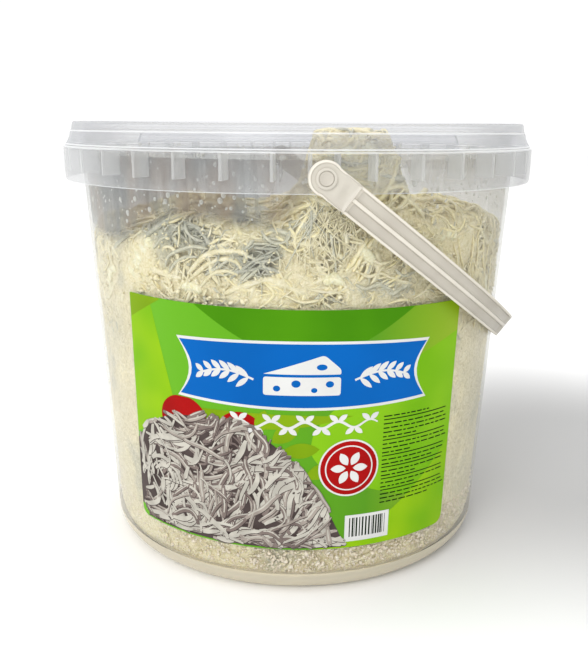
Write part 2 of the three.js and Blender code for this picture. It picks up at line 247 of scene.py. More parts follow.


# Clear random-copolymer polypropylene: thin in the wall, misted inside above the cheese (the veil there
# carries painted shade), thick and doubled in the collar, lid and webs, cloudy in the foot's corner, and
# nearly white along
# the edges: partly the plastic seen edge-on, partly a painted highlight for the light the edges gather.
WALL_PP = clear_polypropylene("polypropylene_clear_wall", 0.06, 0.62, "C9C8C2", 0.2, ior=1.8)
INSIDE_PP = misted_and_shaded_polypropylene()
COLLAR_PP = clear_polypropylene("polypropylene_clear_collar", 0.14, 0.80, "C6C7CA", 0.22, "FBFBFA", 1.6)
WEB_PP = clear_polypropylene("polypropylene_clear_webs", 0.30, 0.92, "F2F2F2", 0.3, ior=1.8)
LID_PP = clear_polypropylene("polypropylene_clear_lid", 0.18, 0.70, "ADB0B5", 0.25, "FDFDFE")
LID_THIN_PP = clear_polypropylene("polypropylene_clear_lid_panel", 0.03, 0.26, "C4C5C7", 0.25, "FFFFFF")
FOOT_PP = clear_polypropylene("polypropylene_clear_foot", 0.60, 0.78, "E2D9C2", 0.25, "FDFCF8")
PIN_PP = clear_polypropylene("polypropylene_thick_pins", 0.95, 0.97, "BFB9AD", 0.35)
EDGE_PP = clear_polypropylene("polypropylene_edge_painted_highlight", 0.50, 0.85, "E6E7E9", 0.3)

# Skimmed-milk curd: plain shreds, paler ones, crumbs at the foot, torn lumps, greyed and mouldy shreds.
CURD_CORE = felted_curd()
CURD_CREAM = shredded_curd("curd_shreds_cream", (0.30, "E0D29E"), (0.5, "F2E6B8"), (0.7, "FAF2D2"))
CURD_IVORY = shredded_curd("curd_shreds_ivory", (0.30, "D8CEA6"), (0.5, "E9DFBA"), (0.7, "F5EDD2"))
CURD_CRUMB = shredded_curd("curd_crumbs_beige", (0.30, "DCCDB2"), (0.5, "EBDDC6"), (0.7, "F6EDDC"))
CURD_CHUNK = shredded_curd("curd_torn_butter_yellow", (0.28, "D9CE9C"), (0.44, "F0E9C0"), (0.62, "F8F4D8"),
                           patch=2.4, roughness=0.45, bump=0.8, bump_size=1.3, swirl=2.0)
CURD_GREY = shredded_curd("curd_shreds_grey", (0.30, "B3B19F"), (0.5, "CAC7B1"), (0.72, "E0DCC6"),
                          roughness=0.5, bump=0.45, bump_size=0.7)
CURD_MOULD = shredded_curd(
    "curd_shreds_blue_mould", (0.30, "A3A495"), (0.48, "B3B2A2"), (0.62, "C3C0AF"), (0.78, "D4D0BE"),
    roughness=0.62, bump=0.5, bump_size=0.5)


def drift(tree, patch, detail, low, high):
    """A slow drift between two tones."""
    return ramp(tree, grain(tree, patch, detail), (0.35, low), (0.65, high))


def moulded_white(name, low, high):
    """White polypropylene, injection moulded: warm white, satin, with a faint orange-peel and flow lines."""
    material, tree = new_material(name)
    rough = remap(tree, grain(tree, 7), 0.30, 0.42)
    skin = relief(tree, grain(tree, 1.2), 0.12, 0.2)
    show(tree, surface(tree, drift(tree, 22, 2, low, high), rough, Normal=skin, IOR=1.49))
    return material


def printed_film(tree, tone, gloss, **inputs):
    """Gravure ink on a white film, varnished: semi-gloss."""
    rough = remap(tree, grain(tree, 5), 0.33, 0.44)
    show(tree, surface(tree, tone, rough, IOR=1.5, Specular_IOR_Level=gloss, **inputs))


def ink(name, low, high, patch):
    """One of the label's inks: an even colour with a slow drift of tone."""
    material, tree = new_material(name)
    printed_film(tree, drift(tree, patch, 1, low, high), 0.06)
    return material


def field_ink():
    """The label's green ground, one blend from light green at the sides to leaf green in the middle."""
    material, tree = new_material("label_film_green")
    tone = ramp(tree, remap(tree, across(tree), 0, 1, -80 * MM, 66 * MM),
                (0.0, "62A80C"), (0.35, "569A06"), (0.7, "4C8A04"), (1.0, "8CAC08"))
    wrinkle = relief(tree, grain(tree, 14, 1, (1, 1, 0.3)), 0.25, 0.6)
    printed_film(tree, tone, 0.2, Normal=wrinkle)
    return material


def water():
    """Condensed water: clear drops that catch the light."""
    material, tree = new_material("condensed_water")
    see_through(tree, remap(tree, facing(tree, 0.4), 0.30, 0.85, 0, 1), "F2F3F0", srgb("F6F6F2"), 0.06, 1.9)
    return material


# ---- Making pieces ----
SHARP = math.radians(38)


def piece(name, shape, material, body="pail", sharp=SHARP):
    """A finished bmesh as an object that rides on a CAD body."""
    for face in shape.faces:
        face.smooth = True
    for edge in shape.edges:
        edge.smooth = not (len(edge.link_faces) == 2 and edge.calc_face_angle(0) > sharp)
    mesh = bpy.data.meshes.new(name)
    shape.to_mesh(mesh)
    shape.free()
    return placed(name, mesh, material, body)


def placed(name, mesh, material, body="pail"):
    mesh.materials.clear()
    mesh.materials.append(material)
    thing = bpy.data.objects.new(name, mesh)
    bpy.context.scene.collection.objects.link(thing)
    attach(thing, body)
    return thing


def dress(thing, rule, *materials):
    """Gives a turned piece more materials: rule says which from a face's radius, height and upward share."""
    for material in materials:
        thing.data.materials.append(material)
    for face in thing.data.polygons:
        x, y, z = face.center / MM
        face.material_index = rule(math.hypot(x, y), z, face.normal.z)


def mark(thing, name, values):
    """Gives the mesh's points a value that a material reads."""
    thing.data.attributes.new(name, "FLOAT", "POINT").data.foreach_set("value", values.astype(np.float32))


def tidy(shape):
    """Merges doubles, drops flat slivers and turns every face outwards."""
    bmesh.ops.remove_doubles(shape, verts=shape.verts, dist=1e-7)
    bmesh.ops.dissolve_degenerate(shape, dist=1e-8, edges=shape.edges)
    bmesh.ops.recalc_face_normals(shape, faces=shape.faces)
    return shape


def spin(points, steps, closed=False, turn=math.tau, centre=(0, 0, 0), axis=(0, 0, 1)):
    """A line of points spun round an axis. A closed line that goes less than all the way round is capped."""
    shape = bmesh.new()
    line = [shape.verts.new(point) for point in points]
    edges = [shape.edges.new(pair) for pair in zip(line, line[1:] + line[:1] if closed else line[1:])]
    full = turn == math.tau
    if closed and not full:
        shape.faces.new(line)
    made = bmesh.ops.spin(
        shape, geom=line + edges, cent=centre, axis=axis, angle=turn, steps=steps, use_merge=full)
    if closed and not full:
        shape.faces.new([v for v in made["geom_last"] if isinstance(v, bmesh.types.BMVert)])
    return shape


def arc(centre_r, centre_z, radius, start, end, steps):
    turns = [math.radians(start + (end - start) * i / steps) for i in range(steps + 1)]
    return [(centre_r + radius * math.cos(a), centre_z + radius * math.sin(a)) for a in turns]


def joined(*shapes):
    """Several bmeshes as one."""
    whole = bmesh.new()
    for shape in shapes:
        spare = bpy.data.meshes.new("spare")
        shape.to_mesh(spare)
        shape.free()
        whole.from_mesh(spare)
        bpy.data.meshes.remove(spare)
    return whole


# ---- The pail ----
ROUND_STEPS = 200
EDGE_LOW, EDGE_HIGH = COLLAR_BOTTOM + 0.5, COLLAR_TOP - 0.6      # the collar's bright edges lie past these
FOOT_CORNER_TOP = 10.5       # the clear corner between wall and floor ends here
RIM_FROM = 194               # the rim above this is inside the lid


def pail_shell():
    inner_corner = CORNER_R - WALL
    corner_z = FLOOR_Z + inner_corner
    skirt_in = COLLAR_R - COLLAR_WALL
    rim_r, rim_in = wall_radius(RIM_TOP), inner_radius(RIM_TOP)
    profile = [
        (0, BASE_LIFT), (FOOT_RING_R - 1.6, BASE_LIFT), (FOOT_RING_R - 0.7, BASE_LIFT - 0.4),
        (FOOT_RING_R - 0.1, 0.5), (FOOT_RING_R + 0.5, 0),
        *arc(wall_radius(CORNER_R) - CORNER_R, CORNER_R, CORNER_R, -90, 0, 12),
        *[(wall_radius(z), z) for z in range(20, 190, 10)],
        (wall_radius(191.5), 191.5), (wall_radius(192) + 0.5, 192), (skirt_in - 0.5, 192), (skirt_in, 191.5),
        (skirt_in, COLLAR_BOTTOM + 0.5), (skirt_in + 0.3, COLLAR_BOTTOM), (COLLAR_R - 0.6, COLLAR_BOTTOM),
        (COLLAR_R - 0.35, COLLAR_BOTTOM + 0.35), (COLLAR_R - 0.15, COLLAR_BOTTOM + 1.4),
        (COLLAR_R, COLLAR_BOTTOM + 4), (COLLAR_R, COLLAR_TOP - 0.8), (COLLAR_R - 0.25, COLLAR_TOP - 0.25),
        (COLLAR_R - 0.8, COLLAR_TOP), (wall_radius(COLLAR_TOP) + 0.6, COLLAR_TOP),
        (wall_radius(COLLAR_TOP), COLLAR_TOP + 0.6), (rim_r - 0.1, RIM_TOP - 2), (rim_r + 0.4, RIM_TOP - 0.9),
        (rim_r + 0.2, RIM_TOP - 0.3), (rim_r - 0.3, RIM_TOP), (rim_in + 0.3, RIM_TOP),
        (rim_in, RIM_TOP - 0.4),
        *[(inner_radius(z), z) for z in np.arange(190, 146, -2.5)],
        *[(inner_radius(z), z) for z in range(140, 10, -10)],
        *arc(inner_radius(corner_z) - inner_corner, corner_z, inner_corner, 0, -90, 10),
        (0, FLOOR_Z)]
    return tidy(spin([at(0, r, z) for r, z in profile], ROUND_STEPS))


def block(size, place):
    """A box of that size with lightly rounded edges, moved by a matrix."""
    shape = bmesh.new()
    bmesh.ops.create_cube(shape, size=MM)
    bmesh.ops.scale(shape, vec=size, verts=shape.verts)
    bmesh.ops.bevel(
        shape, geom=shape.edges[:], offset=0.2 * MM, segments=2, profile=0.5, affect="EDGES", material=-1)
    bmesh.ops.transform(shape, matrix=place, verts=shape.verts)
    return shape


def webs():
    """The upright webs that stiffen the collar, one each 10 degrees, with a pair beside each pivot."""
    reach_from, reach_to = wall_radius(RIB_BOTTOM) - 0.4, COLLAR_R - COLLAR_WALL / 2
    height = COLLAR_TOP - COLLAR_WALL / 2 - RIB_BOTTOM
    angles = [a for a in range(10, 360, 10) if a != 180]
    angles += [base + side * PIVOT_RIB_ANGLE for base in (0, 180) for side in (-1, 1)]
    shapes = []
    for angle in angles:
        middle = at(angle, (reach_from + reach_to) / 2, RIB_BOTTOM + height / 2)
        place = Matrix.Translation(middle) @ Matrix.Rotation(math.radians(angle), 4, "Z")
        shapes.append(block((RIB_THICK, reach_to - reach_from, height), place))
    return joined(*shapes)


def pin(side):
    """A pin on which the handle turns, on a boss between two of the collar's webs."""
    root, face = wall_radius(PIVOT_Z) - 0.5, COLLAR_R - COLLAR_WALL / 2
    profile = [
        (0, root), (BOSS_R, root), (BOSS_R, face), (PIN_R, face), (PIN_R, PIN_END - 1.2),
        (PIN_R + 0.2, PIN_END - 0.7), (PIN_R + 0.2, PIN_END), (PIN_R - 0.1, PIN_END + 0.2),
        (PIN_R - 0.5, PIN_END + 0.1), (PIN_R - 0.9, PIN_END - 0.1), (0, PIN_END - 0.15)]
    points = [Vector((r, side * out, PIVOT_Z)) * MM for r, out in profile]
    return tidy(spin(points, 40, centre=(0, 0, PIVOT_Z * MM), axis=(0, 1, 0)))


def pail_region(r, z, up):
    """0 the wall, 1 its misted inside with painted shade, 2 the collar, 3 the collar's edges with their
    painted highlight, 4 the foot, 5 the rim.
    """
    if r > COLLAR_R - 0.8 and not EDGE_LOW <= z <= EDGE_HIGH:
        return 3
    if r > wall_radius(z) + 0.3 and z > 150:
        return 2
    under_floor = r < FOOT_RING_R + 2 and z < FLOOR_Z - 0.5
    if z < FOOT_CORNER_TOP and up < 0.5 and (under_floor or r > wall_radius(z) - CORNER_R):
        return 4
    if z > RIM_FROM:
        return 5
    return int(FLOOR_Z + 0.1 < z and r < wall_radius(z) - 0.7)


shell = piece("pail_shell", pail_shell(), WALL_PP)
dress(shell, pail_region, INSIDE_PP, COLLAR_PP, EDGE_PP, FOOT_PP, LID_THIN_PP)
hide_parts("pail")
piece("collar_webs", webs(), WEB_PP)
piece("pivot_pins", joined(pin(-1), pin(1)), PIN_PP)


# ---- The lid ----
LID_OUTSIDE = [
    (107.4, LID_TOP), (108.1, LID_TOP - 0.3), (108.5, LID_TOP - 0.9), (109.0, 200.7), (109.4, 200.1),
    (109.6, 199.5), (110.1, 197.4), (111.0, 195.4), (111.85, 194.2), (112.2, COLLAR_TOP + LID_GAP)]
OUTSIDE_R, OUTSIDE_Z = zip(*reversed(LID_OUTSIDE))
PLUG_R, PLUG_Z = 102.2, 193.5        # above this height the cheese stays inside the plug of the lid


def lid():
    roof = LID_TOP - LID_WALL
    under = LID_PANEL - LID_WALL
    channel_in = inner_radius(RIM_TOP) - LID_GAP - 0.1
    plug_in = channel_in - LID_WALL
    profile = [
        (0, under), (channel_in - 3.2, under), (channel_in - 1.7, under - 0.35), (plug_in, under - 1.5),
        (plug_in, COLLAR_TOP + 1.6), (plug_in + 0.4, COLLAR_TOP + 1.2), (channel_in, COLLAR_TOP + 1.4),
        (channel_in, roof - 1), (channel_in + 0.3, roof - 0.3), (channel_in + 1, roof), (107.2, roof),
        (107.7, roof - 0.5), (108.2, 199.4), (110.6, COLLAR_TOP + LID_GAP),
        *reversed(LID_OUTSIDE),
        (101.0, LID_TOP), (100.2, LID_TOP - 0.3), (99.6, LID_PANEL + 0.2), (99.0, LID_PANEL), (0, LID_PANEL)]
    return tidy(spin([at(0, r, z) for r, z in profile], ROUND_STEPS))


def lid_pad():
    """The smooth raised pad on the front of the lid's skirt, rounded off at its ends."""
    low, rounding = COLLAR_TOP + LID_GAP, 3.0
    outside = [(r + PAD_RAISE, z) for r, z in LID_OUTSIDE[5:]]
    profile = [(109.2, 199.7), *outside, (111.2, low), (109.0, 198.0)]
    points = [at(PAD_FROM, r, z) for r, z in profile]
    shape = tidy(spin(points, 72, closed=True, turn=math.radians(PAD_TO - PAD_FROM)))
    for vert in shape.verts:
        x, y, z = vert.co / MM
        turn = math.degrees(math.atan2(x, -y))
        to_end = min(turn - PAD_FROM, PAD_TO - turn) * math.radians(110) / rounding
        if to_end < 1:
            z = low + (z - low) * (0.35 + 0.65 * math.sqrt(max(0.0, 1 - (1 - max(to_end, 0)) ** 2)))
            vert.co.z = z * MM
    return shape


def lid_region(r, z, _):
    """0 the outside, 1 the bright edges, 2 the thin panel and the inside."""
    if r > 108.5 and (z < COLLAR_TOP + 0.7 or 199.5 < z < 200.1) or (r > 107.3 and z > LID_TOP - 0.2):
        return 1
    outside = float(np.interp(z, OUTSIDE_Z, OUTSIDE_R))
    return 0 if outside - 0.35 < r < outside + 0.2 or r > outside + PAD_RAISE - 0.2 else 2


lid_piece = piece("lid_shell", lid(), LID_PP)
pad_piece = piece("lid_pad", lid_pad(), LID_PP)
for thing in (lid_piece, pad_piece):
    dress(thing, lid_region, EDGE_PP, LID_THIN_PP)
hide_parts("lid")


def step_up(value, low, high):
    """0 below low, 1 above high, and a smooth rise between."""
    share = np.clip((value - low) / (high - low), 0, 1)
    return share * share * (3 - 2 * share)


# ---- The handle, in its own plane: X away from the pivots, Y along their axis ----
HANDLE_PLACE = Matrix.Translation((0, 0, PIVOT_Z * MM)) @ Matrix.Rotation(math.radians(HANDLE_DROP), 4, "Y")
GRIP_HALF = 42               # half the length of the plain grip in the middle of the strap
RING_R = 3.9                 # the raised ring round the hole in an end plate


def rounded(corners, radius, steps=3):
    """A closed outline with each corner rounded; radius is one number or one for each corner."""
    outline = []
    count = len(corners)
    for i, corner in enumerate(corners):
        here = Vector(corner)
        before, after = Vector(corners[i - 1]) - here, Vector(corners[(i + 1) % count]) - here
        r = radius[i] if isinstance(radius, (list, tuple)) else radius
        reach = min(r, before.length / 2, after.length / 2)
        start, end = here + before.normalized() * reach, here + after.normalized() * reach
        for k in range(steps + 1):
            t = k / steps
            outline.append(start * (1 - t) ** 2 + here * 2 * t * (1 - t) + end * t ** 2)
    return outline


def strap_section(recess):
    """Across the strap and outwards: a flat back, a rail at each edge and one in the middle, two channels."""
    w, t, c = STRAP_W / 2, STRAP_T / 2, RAIL_W / 2
    low = t - recess
    edge = 1.0
    return rounded([
        (-w, -t), (w, -t), (w, t), (w - edge, t), (w - edge - 0.35, low), (c + 0.35, low), (c, t),
        (-c, t), (-c - 0.35, low), (-w + edge + 0.35, low), (-w + edge, t), (-w, t)],
        [0.5, 0.5, 0.35, 0.3, 0.35, 0.35, 0.3, 0.3, 0.35, 0.35, 0.3, 0.35], 2)


def bend(value):
    return math.copysign(abs(value) ** (2 / HANDLE_POWER), value)


def handle_line(share):
    angle = math.pi * share
    return Vector((HANDLE_REACH * bend(math.sin(angle)), -HANDLE_HALF * bend(math.cos(angle)), 0))


def strap(frames=150):
    """The strap, drawn along the handle's line one short length at a time."""
    fine = [handle_line(i / 4000) for i in range(4001)]
    fine = [p for p in fine if p.x >= END_LENGTH - 1.2]
    lengths = np.cumsum([0] + [(b - a).length for a, b in zip(fine, fine[1:])])
    shape = bmesh.new()
    loop = None
    for k in range(frames + 1):
        i = int(np.searchsorted(lengths, lengths[-1] * k / frames))
        i = min(max(i, 1), len(fine) - 2)
        ahead = (fine[i + 1] - fine[i - 1]).normalized()
        out = Vector((ahead.y, -ahead.x, 0))
        # the channels run out before the plain grip in the middle
        recess = max(0.04, STRAP_RECESS * float(step_up(abs(fine[i].y), GRIP_HALF, GRIP_HALF + 5)))
        places = [(fine[i] + out * n + Vector((0, 0, w))) * MM for w, n in strap_section(recess)]
        if loop is None:
            loop = [shape.verts.new(p) for p in places]
            edges = [shape.edges.new(pair) for pair in zip(loop, loop[1:] + loop[:1])]
            shape.faces.new(loop)
            continue
        grown = bmesh.ops.extrude_edge_only(shape, edges=edges)["geom"]
        fresh = {g for g in grown if isinstance(g, bmesh.types.BMVert)}
        loop = [next(e.other_vert(old) for e in old.link_edges if e.other_vert(old) in fresh) for old in loop]
        for vert, place in zip(loop, places):
            vert.co = place
        edges = [shape.edges.get(pair) for pair in zip(loop, loop[1:] + loop[:1])]
    shape.faces.new(loop)
    return tidy(shape)


def plate_reach(angle):
    """How far the end plate's edge is from the hole's middle; angle 0 is towards the strap."""
    u, v = math.cos(angle), abs(math.sin(angle))
    if u <= 0:
        return END_R
    shoulder = END_LENGTH / max(u, 1e-6)
    side = (STRAP_W / 2 + 0.15) / max(v, 1e-6)
    return min(shoulder, max(side, END_R) if u < 0.42 else side)


def plate_height(u, v, edge):
    """The outer face over the plate: a field sunk inside the rim, a low swell by the ring, and a scoop."""
    swell = 0.45 * math.exp(-((u - 6.2) / 1.1) ** 2) * math.exp(-(v / 3.0) ** 2)
    scoop = -0.55 * math.exp(-((u - 9.2) / 1.3) ** 2) * math.exp(-(v / 3.8) ** 4)
    return (swell + scoop - 0.55) * float(step_up(edge, 0.7, 1.25))


def end_plate(side):
    """The rounded plate round a pivot: hole, raised ring, bevelled rim, and a shoulder towards the strap."""
    out, back = STRAP_T / 2, -STRAP_T / 2
    profile = [
        (HOLE_R, back + 0.2), (HOLE_R, out + 0.25), (HOLE_R + 0.15, out + 0.42), (RING_R - 0.25, out + 0.42),
        (RING_R - 0.05, out + 0.3), (RING_R + 0.1, out),
        *[(RING_R + 0.1 + 0.2 * k, out) for k in range(1, 10)],
        (END_R - 0.55, out), (END_R - 0.3, out - 0.1), (END_R - 0.12, out - 0.32), (END_R, out - 0.6),
        (END_R, back + 0.5), (END_R - 0.15, back + 0.15), (END_R - 0.5, back), (HOLE_R + 0.2, back)]
    shape = tidy(spin([Vector((r, 0, n)) * MM for r, n in profile], 72, closed=True))
    for vert in shape.verts:
        u, v, n = vert.co / MM
        r, angle = math.hypot(u, v), math.atan2(v, u)
        if r > RING_R + 0.05:
            reach = plate_reach(angle)
            # the rim's bevel keeps its width; what lies inside it stretches to the outline
            if r > END_R - 0.6:
                grown = reach - (END_R - r)
            else:
                grown = RING_R + (r - RING_R) * (reach - 0.6 - RING_R) / (END_R - 0.6 - RING_R)
            u, v = grown * math.cos(angle), grown * math.sin(angle)
            if abs(n - out) < 0.02:
                n += plate_height(u, v, reach - grown)
        vert.co = Vector((u, side * (HANDLE_HALF + n), v)) * MM
    bmesh.ops.recalc_face_normals(shape, faces=shape.faces)
    return shape


handle_shape = joined(strap(), end_plate(-1), end_plate(1))
bmesh.ops.transform(handle_shape, matrix=HANDLE_PLACE, verts=handle_shape.verts)
CHANNEL_PP = moulded_white("polypropylene_white_satin", "B8B2A6", "C2BDB1")
# a paler white for the rails and rims, as painted highlight
RAIL_HIGHLIGHT_PP = moulded_white("polypropylene_white_painted_highlight", "D2CCBF", "DAD4C8")
handle_piece = piece("handle_strap", handle_shape, CHANNEL_PP, "handle")
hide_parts("handle")


def paint_rail_highlights():
    """The rails and the plates' rims, paler than the channels between them: a painted highlight where light
    catches their raised, rounded edges.
    """
    handle_piece.data.materials.append(RAIL_HIGHLIGHT_PP)
    home = HANDLE_PLACE.inverted()
    for face in handle_piece.data.polygons:
        u, v, w = home @ face.center / MM
        outwards = (home.to_3x3() @ face.normal).dot(Vector((u, v, 0)).normalized())
        if u > END_LENGTH + 0.2:
            middle = abs(w) < RAIL_W / 2 + 0.05 and outwards > 0.5 and abs(v) > GRIP_HALF
            rail = middle or abs(w) > STRAP_W / 2 - 1.15
        else:
            r = math.hypot(u, w)
            rail = plate_reach(math.atan2(w, u)) - r < 0.75 and r > 4.2
        face.material_index = int(rail)


paint_rail_highlights()


# ---- The heap's surface ----
SHOULDER = 7.6               # rounding of the heap's edge, where its side turns into its top
CORNER_IN = CORNER_R - WALL
EDGE_IN = inner_radius(HEAP_LEVEL) - SHOULDER


def heap_top(x, y):
    """The height of the heap's top, as in the part's source."""
    rise = 0
    for angle, r, height, spread in HEAP_LUMPS:
        cx, cy = r * math.sin(math.radians(angle)), -r * math.cos(math.radians(angle))
        rise = rise + height * np.exp(-((x - cx) ** 2 + (y - cy) ** 2) / (2 * spread ** 2))
    uneven = (np.sin(0.11 * x + 1.3) + np.sin(0.13 * y - 0.07 * x) + np.sin(0.09 * y + 2.1)) / 3
    return np.minimum(HEAP_LEVEL + rise + 3 * uneven, 200.9)


def top_at(a, r=EDGE_IN):
    """The height of the heap's top at an angle in radians, beside the wall unless r is given."""
    return heap_top(r * np.sin(a), -r * np.cos(a))


def on_heap(turn, s, depth, top_room=0.0):
    """Points on the heap: turn in degrees, s millimetres up the side and then in over the top, depth under
    the surface. On the side the surface is the inside of the wall."""
    turn, s, depth = (np.asarray(v, float) for v in np.broadcast_arrays(turn, s, depth))
    a = np.radians(turn)
    edge = top_at(a) - SHOULDER
    bend_in = np.clip((s - edge) / SHOULDER, 0, math.pi / 2)
    over = np.clip(s - edge - SHOULDER * math.pi / 2, 0, EDGE_IN - 0.5)
    z = np.where(s < edge, s, edge + SHOULDER * np.sin(bend_in))
    low = np.clip(FLOOR_Z + CORNER_IN - z, 0, CORNER_IN)
    corner = CORNER_IN - np.sqrt(np.maximum(CORNER_IN ** 2 - low ** 2, 0))
    r = inner_radius(np.minimum(z, edge)) - corner - SHOULDER * (1 - np.cos(bend_in)) - over
    z = np.where(over > 0, top_at(a, r), z)
    r = r - depth * np.cos(bend_in)
    z = z - depth * np.sin(bend_in)
    r = np.minimum(r, np.where(z > PLUG_Z, PLUG_R, inner_radius(z) + 0.25) - top_room)
    z = np.clip(z, FLOOR_Z + top_room, LID_PANEL - LID_WALL + 0.1 - top_room)
    return np.stack([r * np.sin(a), -r * np.cos(a), z], axis=-1)


def mottle(points, size, seed):
    """Slow noise at points in millimetres, from about -1 to 1, with lumps of that size."""
    shift = Vector((seed * 17.3, seed * 5.1, seed * 9.7))
    values = [noise.noise(Vector(p) / size + shift) for p in points.reshape(-1, 3)]
    return np.array(values).reshape(points.shape[:-1])


def places_of(verts):
    """The places of a mesh's points, in millimetres."""
    return np.array([v.co for v in verts]) / MM


def turn_of(points):
    return np.degrees(np.arctan2(points[..., 0], -points[..., 1]))


def mist_and_shade_on_wall():
    """Mist on the inside of the wall above the heap, thickest at the left of the front and up by the collar,
    with its dark tone as painted shade.
    """
    points = places_of(shell.data.vertices)
    turn, z = turn_of(points), points[:, 2]
    right = np.clip((turn - 15) / 15, 0, 1) * np.clip((110 - turn) / 30, 0, 1)
    above = np.clip((z - top_at(np.radians(turn)) + 4 + 8 * right) / (6 + 8 * right), 0, 1)
    # more veil, and so more painted shade, at the left of the front and up by the collar
    amount = 0.36 + 0.54 * np.clip((-2 - turn) / 16, 0, 1) * np.clip((turn + 130) / 50, 0, 1)
    amount = amount + 0.2 * np.clip((z - 178) / 4, 0, 1)
    mark(shell, "mist_and_shade", np.where(z < 193, above * amount, 0))


mist_and_shade_on_wall()

# Where the mould has grown, with one spot of painted shade among it, where the curd is smeared smooth on the
# wall,
# with spots of painted light among the smears, and where it has hollows:
# angle, height, spread across in degrees, spread up in millimetres, and amount.
MOULD_AND_SHADE_SPOTS = [(-40, 162, 9, 5, 1.1), (-38.5, 152, 2.6, 7, 0.7), (-57, 152, 4, 5, 0.35),
               (-29, 160, 6, 5, 0.9), (-22, 152, 9, 6, 0.6), (-14.5, 149, 4, 6, 1.2),
               (-1.6, 167, 2, 4, 0.6), (4.8, 157, 2.5, 4, 0.35), (-57, 162, 7, 6, 0.5), (13, 139, 6, 5, 0.45),
               (24, 141, 6, 5, 0.3), (2.7, 135, 3, 3, 0.45), (-62, 112, 6, 10, 0.3), (150, 134, 24, 20, 0.5),
               # the first spot on the next line, at 60 degrees and 66 high, is painted shade for the shaded
               # right side, not mould
               (60, 66, 13, 44, 0.2), (-118, 96, 18, 24, 0.4), (96, 60, 20, 22, 0.2), (-160, 40, 26, 16, 0.3)]
SMEARS_AND_LIGHT = [(-46, 149, 5, 10, 1.3), (-51, 137, 5, 10, 0.9), (-15, 168, 8, 9, 0.9), (-6, 168, 6, 10, 0.8),
          # this spot and the one at 8 degrees, 195 high, on the next line, are painted light: they make the
          # shaded lump under the lid paler
          (2, 181, 14, 9, 1.0),
          (33, 164, 9, 6, 0.9), (28, 150, 10, 14, 0.2), (8, 195, 16, 9, 1.5), (46, 142, 22, 40, 0.25),
          (120, 140, 26, 22, 0.7),
          (-110, 130, 24, 26, 0.6)]
HOLLOWS = [(-14.5, 148, 3, 5, 2.4), (2.7, 136, 2.6, 2.6, 3.0), (-1.6, 167, 2, 4, 3), (4.8, 157, 2.5, 4, 1.6),
           (-8, 167, 3, 5, 1.8), (-33, 163, 5, 3, 2.0), (11, 148, 3, 3, 2.0), (-26, 147, 3, 3, 2.5)]
# Smooth places on the wall with few loose shreds on them.
BARE = [(-44, 154, 4.5, 7, 1.3), (-49, 143, 4.5, 8, 1.3), (-53, 134, 4, 7, 1.0), (-15.5, 166, 4.5, 8, 1.1),
        (-7.5, 167, 3, 6, 1.0), (35, 158, 12, 12, 0.35), (52, 146, 10, 14, 0.1), (8, 198, 12, 8, 0.2),
        (-60, 140, 8, 24, 0.8),
        (20, 172, 8, 6, 0.5)]


def spread(turn, z, spots):
    """The sum of soft round spots at places on the side."""
    total = 0.0
    for angle, height, wide, tall, amount in spots:
        apart = (turn - angle + 180) % 360 - 180
        total = total + amount * np.exp(-(apart / wide) ** 2 - ((z - height) / tall) ** 2)
    return total


def mould_and_shade_at(points):
    """How much mould there is, 0 to 1: less on the right and at the back, plus painted shade in one spot low
    at the right.
    """
    growth = mottle(points, 26, 7) + 0.5 * mottle(points, 9, 8)
    turn = turn_of(points)
    right, far = step_up(turn, 8, 24) * step_up(150 - turn, 0, 40), step_up(abs(turn), 70, 100)
    grown = (0.6 - 0.36 * right - 0.25 * far) * step_up(growth, 0.16, 0.7)
    return np.clip(grown + spread(turn, points[..., 2], MOULD_AND_SHADE_SPOTS), 0, 1)


def smear_and_light_at(points):
    """How yellow and smooth the curd is, 0 to 1; under the lid it is also painted light."""
    patches = 0.55 * step_up(mottle(points, 34, 12) + 0.3 * mottle(points, 10, 13), 0.0, 0.5)
    return np.clip(patches + spread(turn_of(points), points[..., 2], SMEARS_AND_LIGHT), 0, 1)


def stringy(turn, z):
    """How loose the cheese is: 1 where shreds stand out, 0 where it is pressed smooth on the wall."""
    high = np.clip((z - 104) / 30, 0, 1)
    front = np.exp(-((turn + 8) / 50.0) ** 2)
    near = np.clip((turn + 62) / 30, 0, 1) * np.clip((75 - turn) / 30, 0, 1)
    low = 0.8 * np.exp(-((z - 12) / 14.0) ** 2) * near
    far = np.clip((abs(turn) - 80) / 35, 0, 1)
    right = 0.35 * np.exp(-((turn - 48) / 22.0) ** 2)
    return np.clip(np.maximum(high * (0.42 + 0.58 * front + right), low) + 0.6 * far, 0, 1)


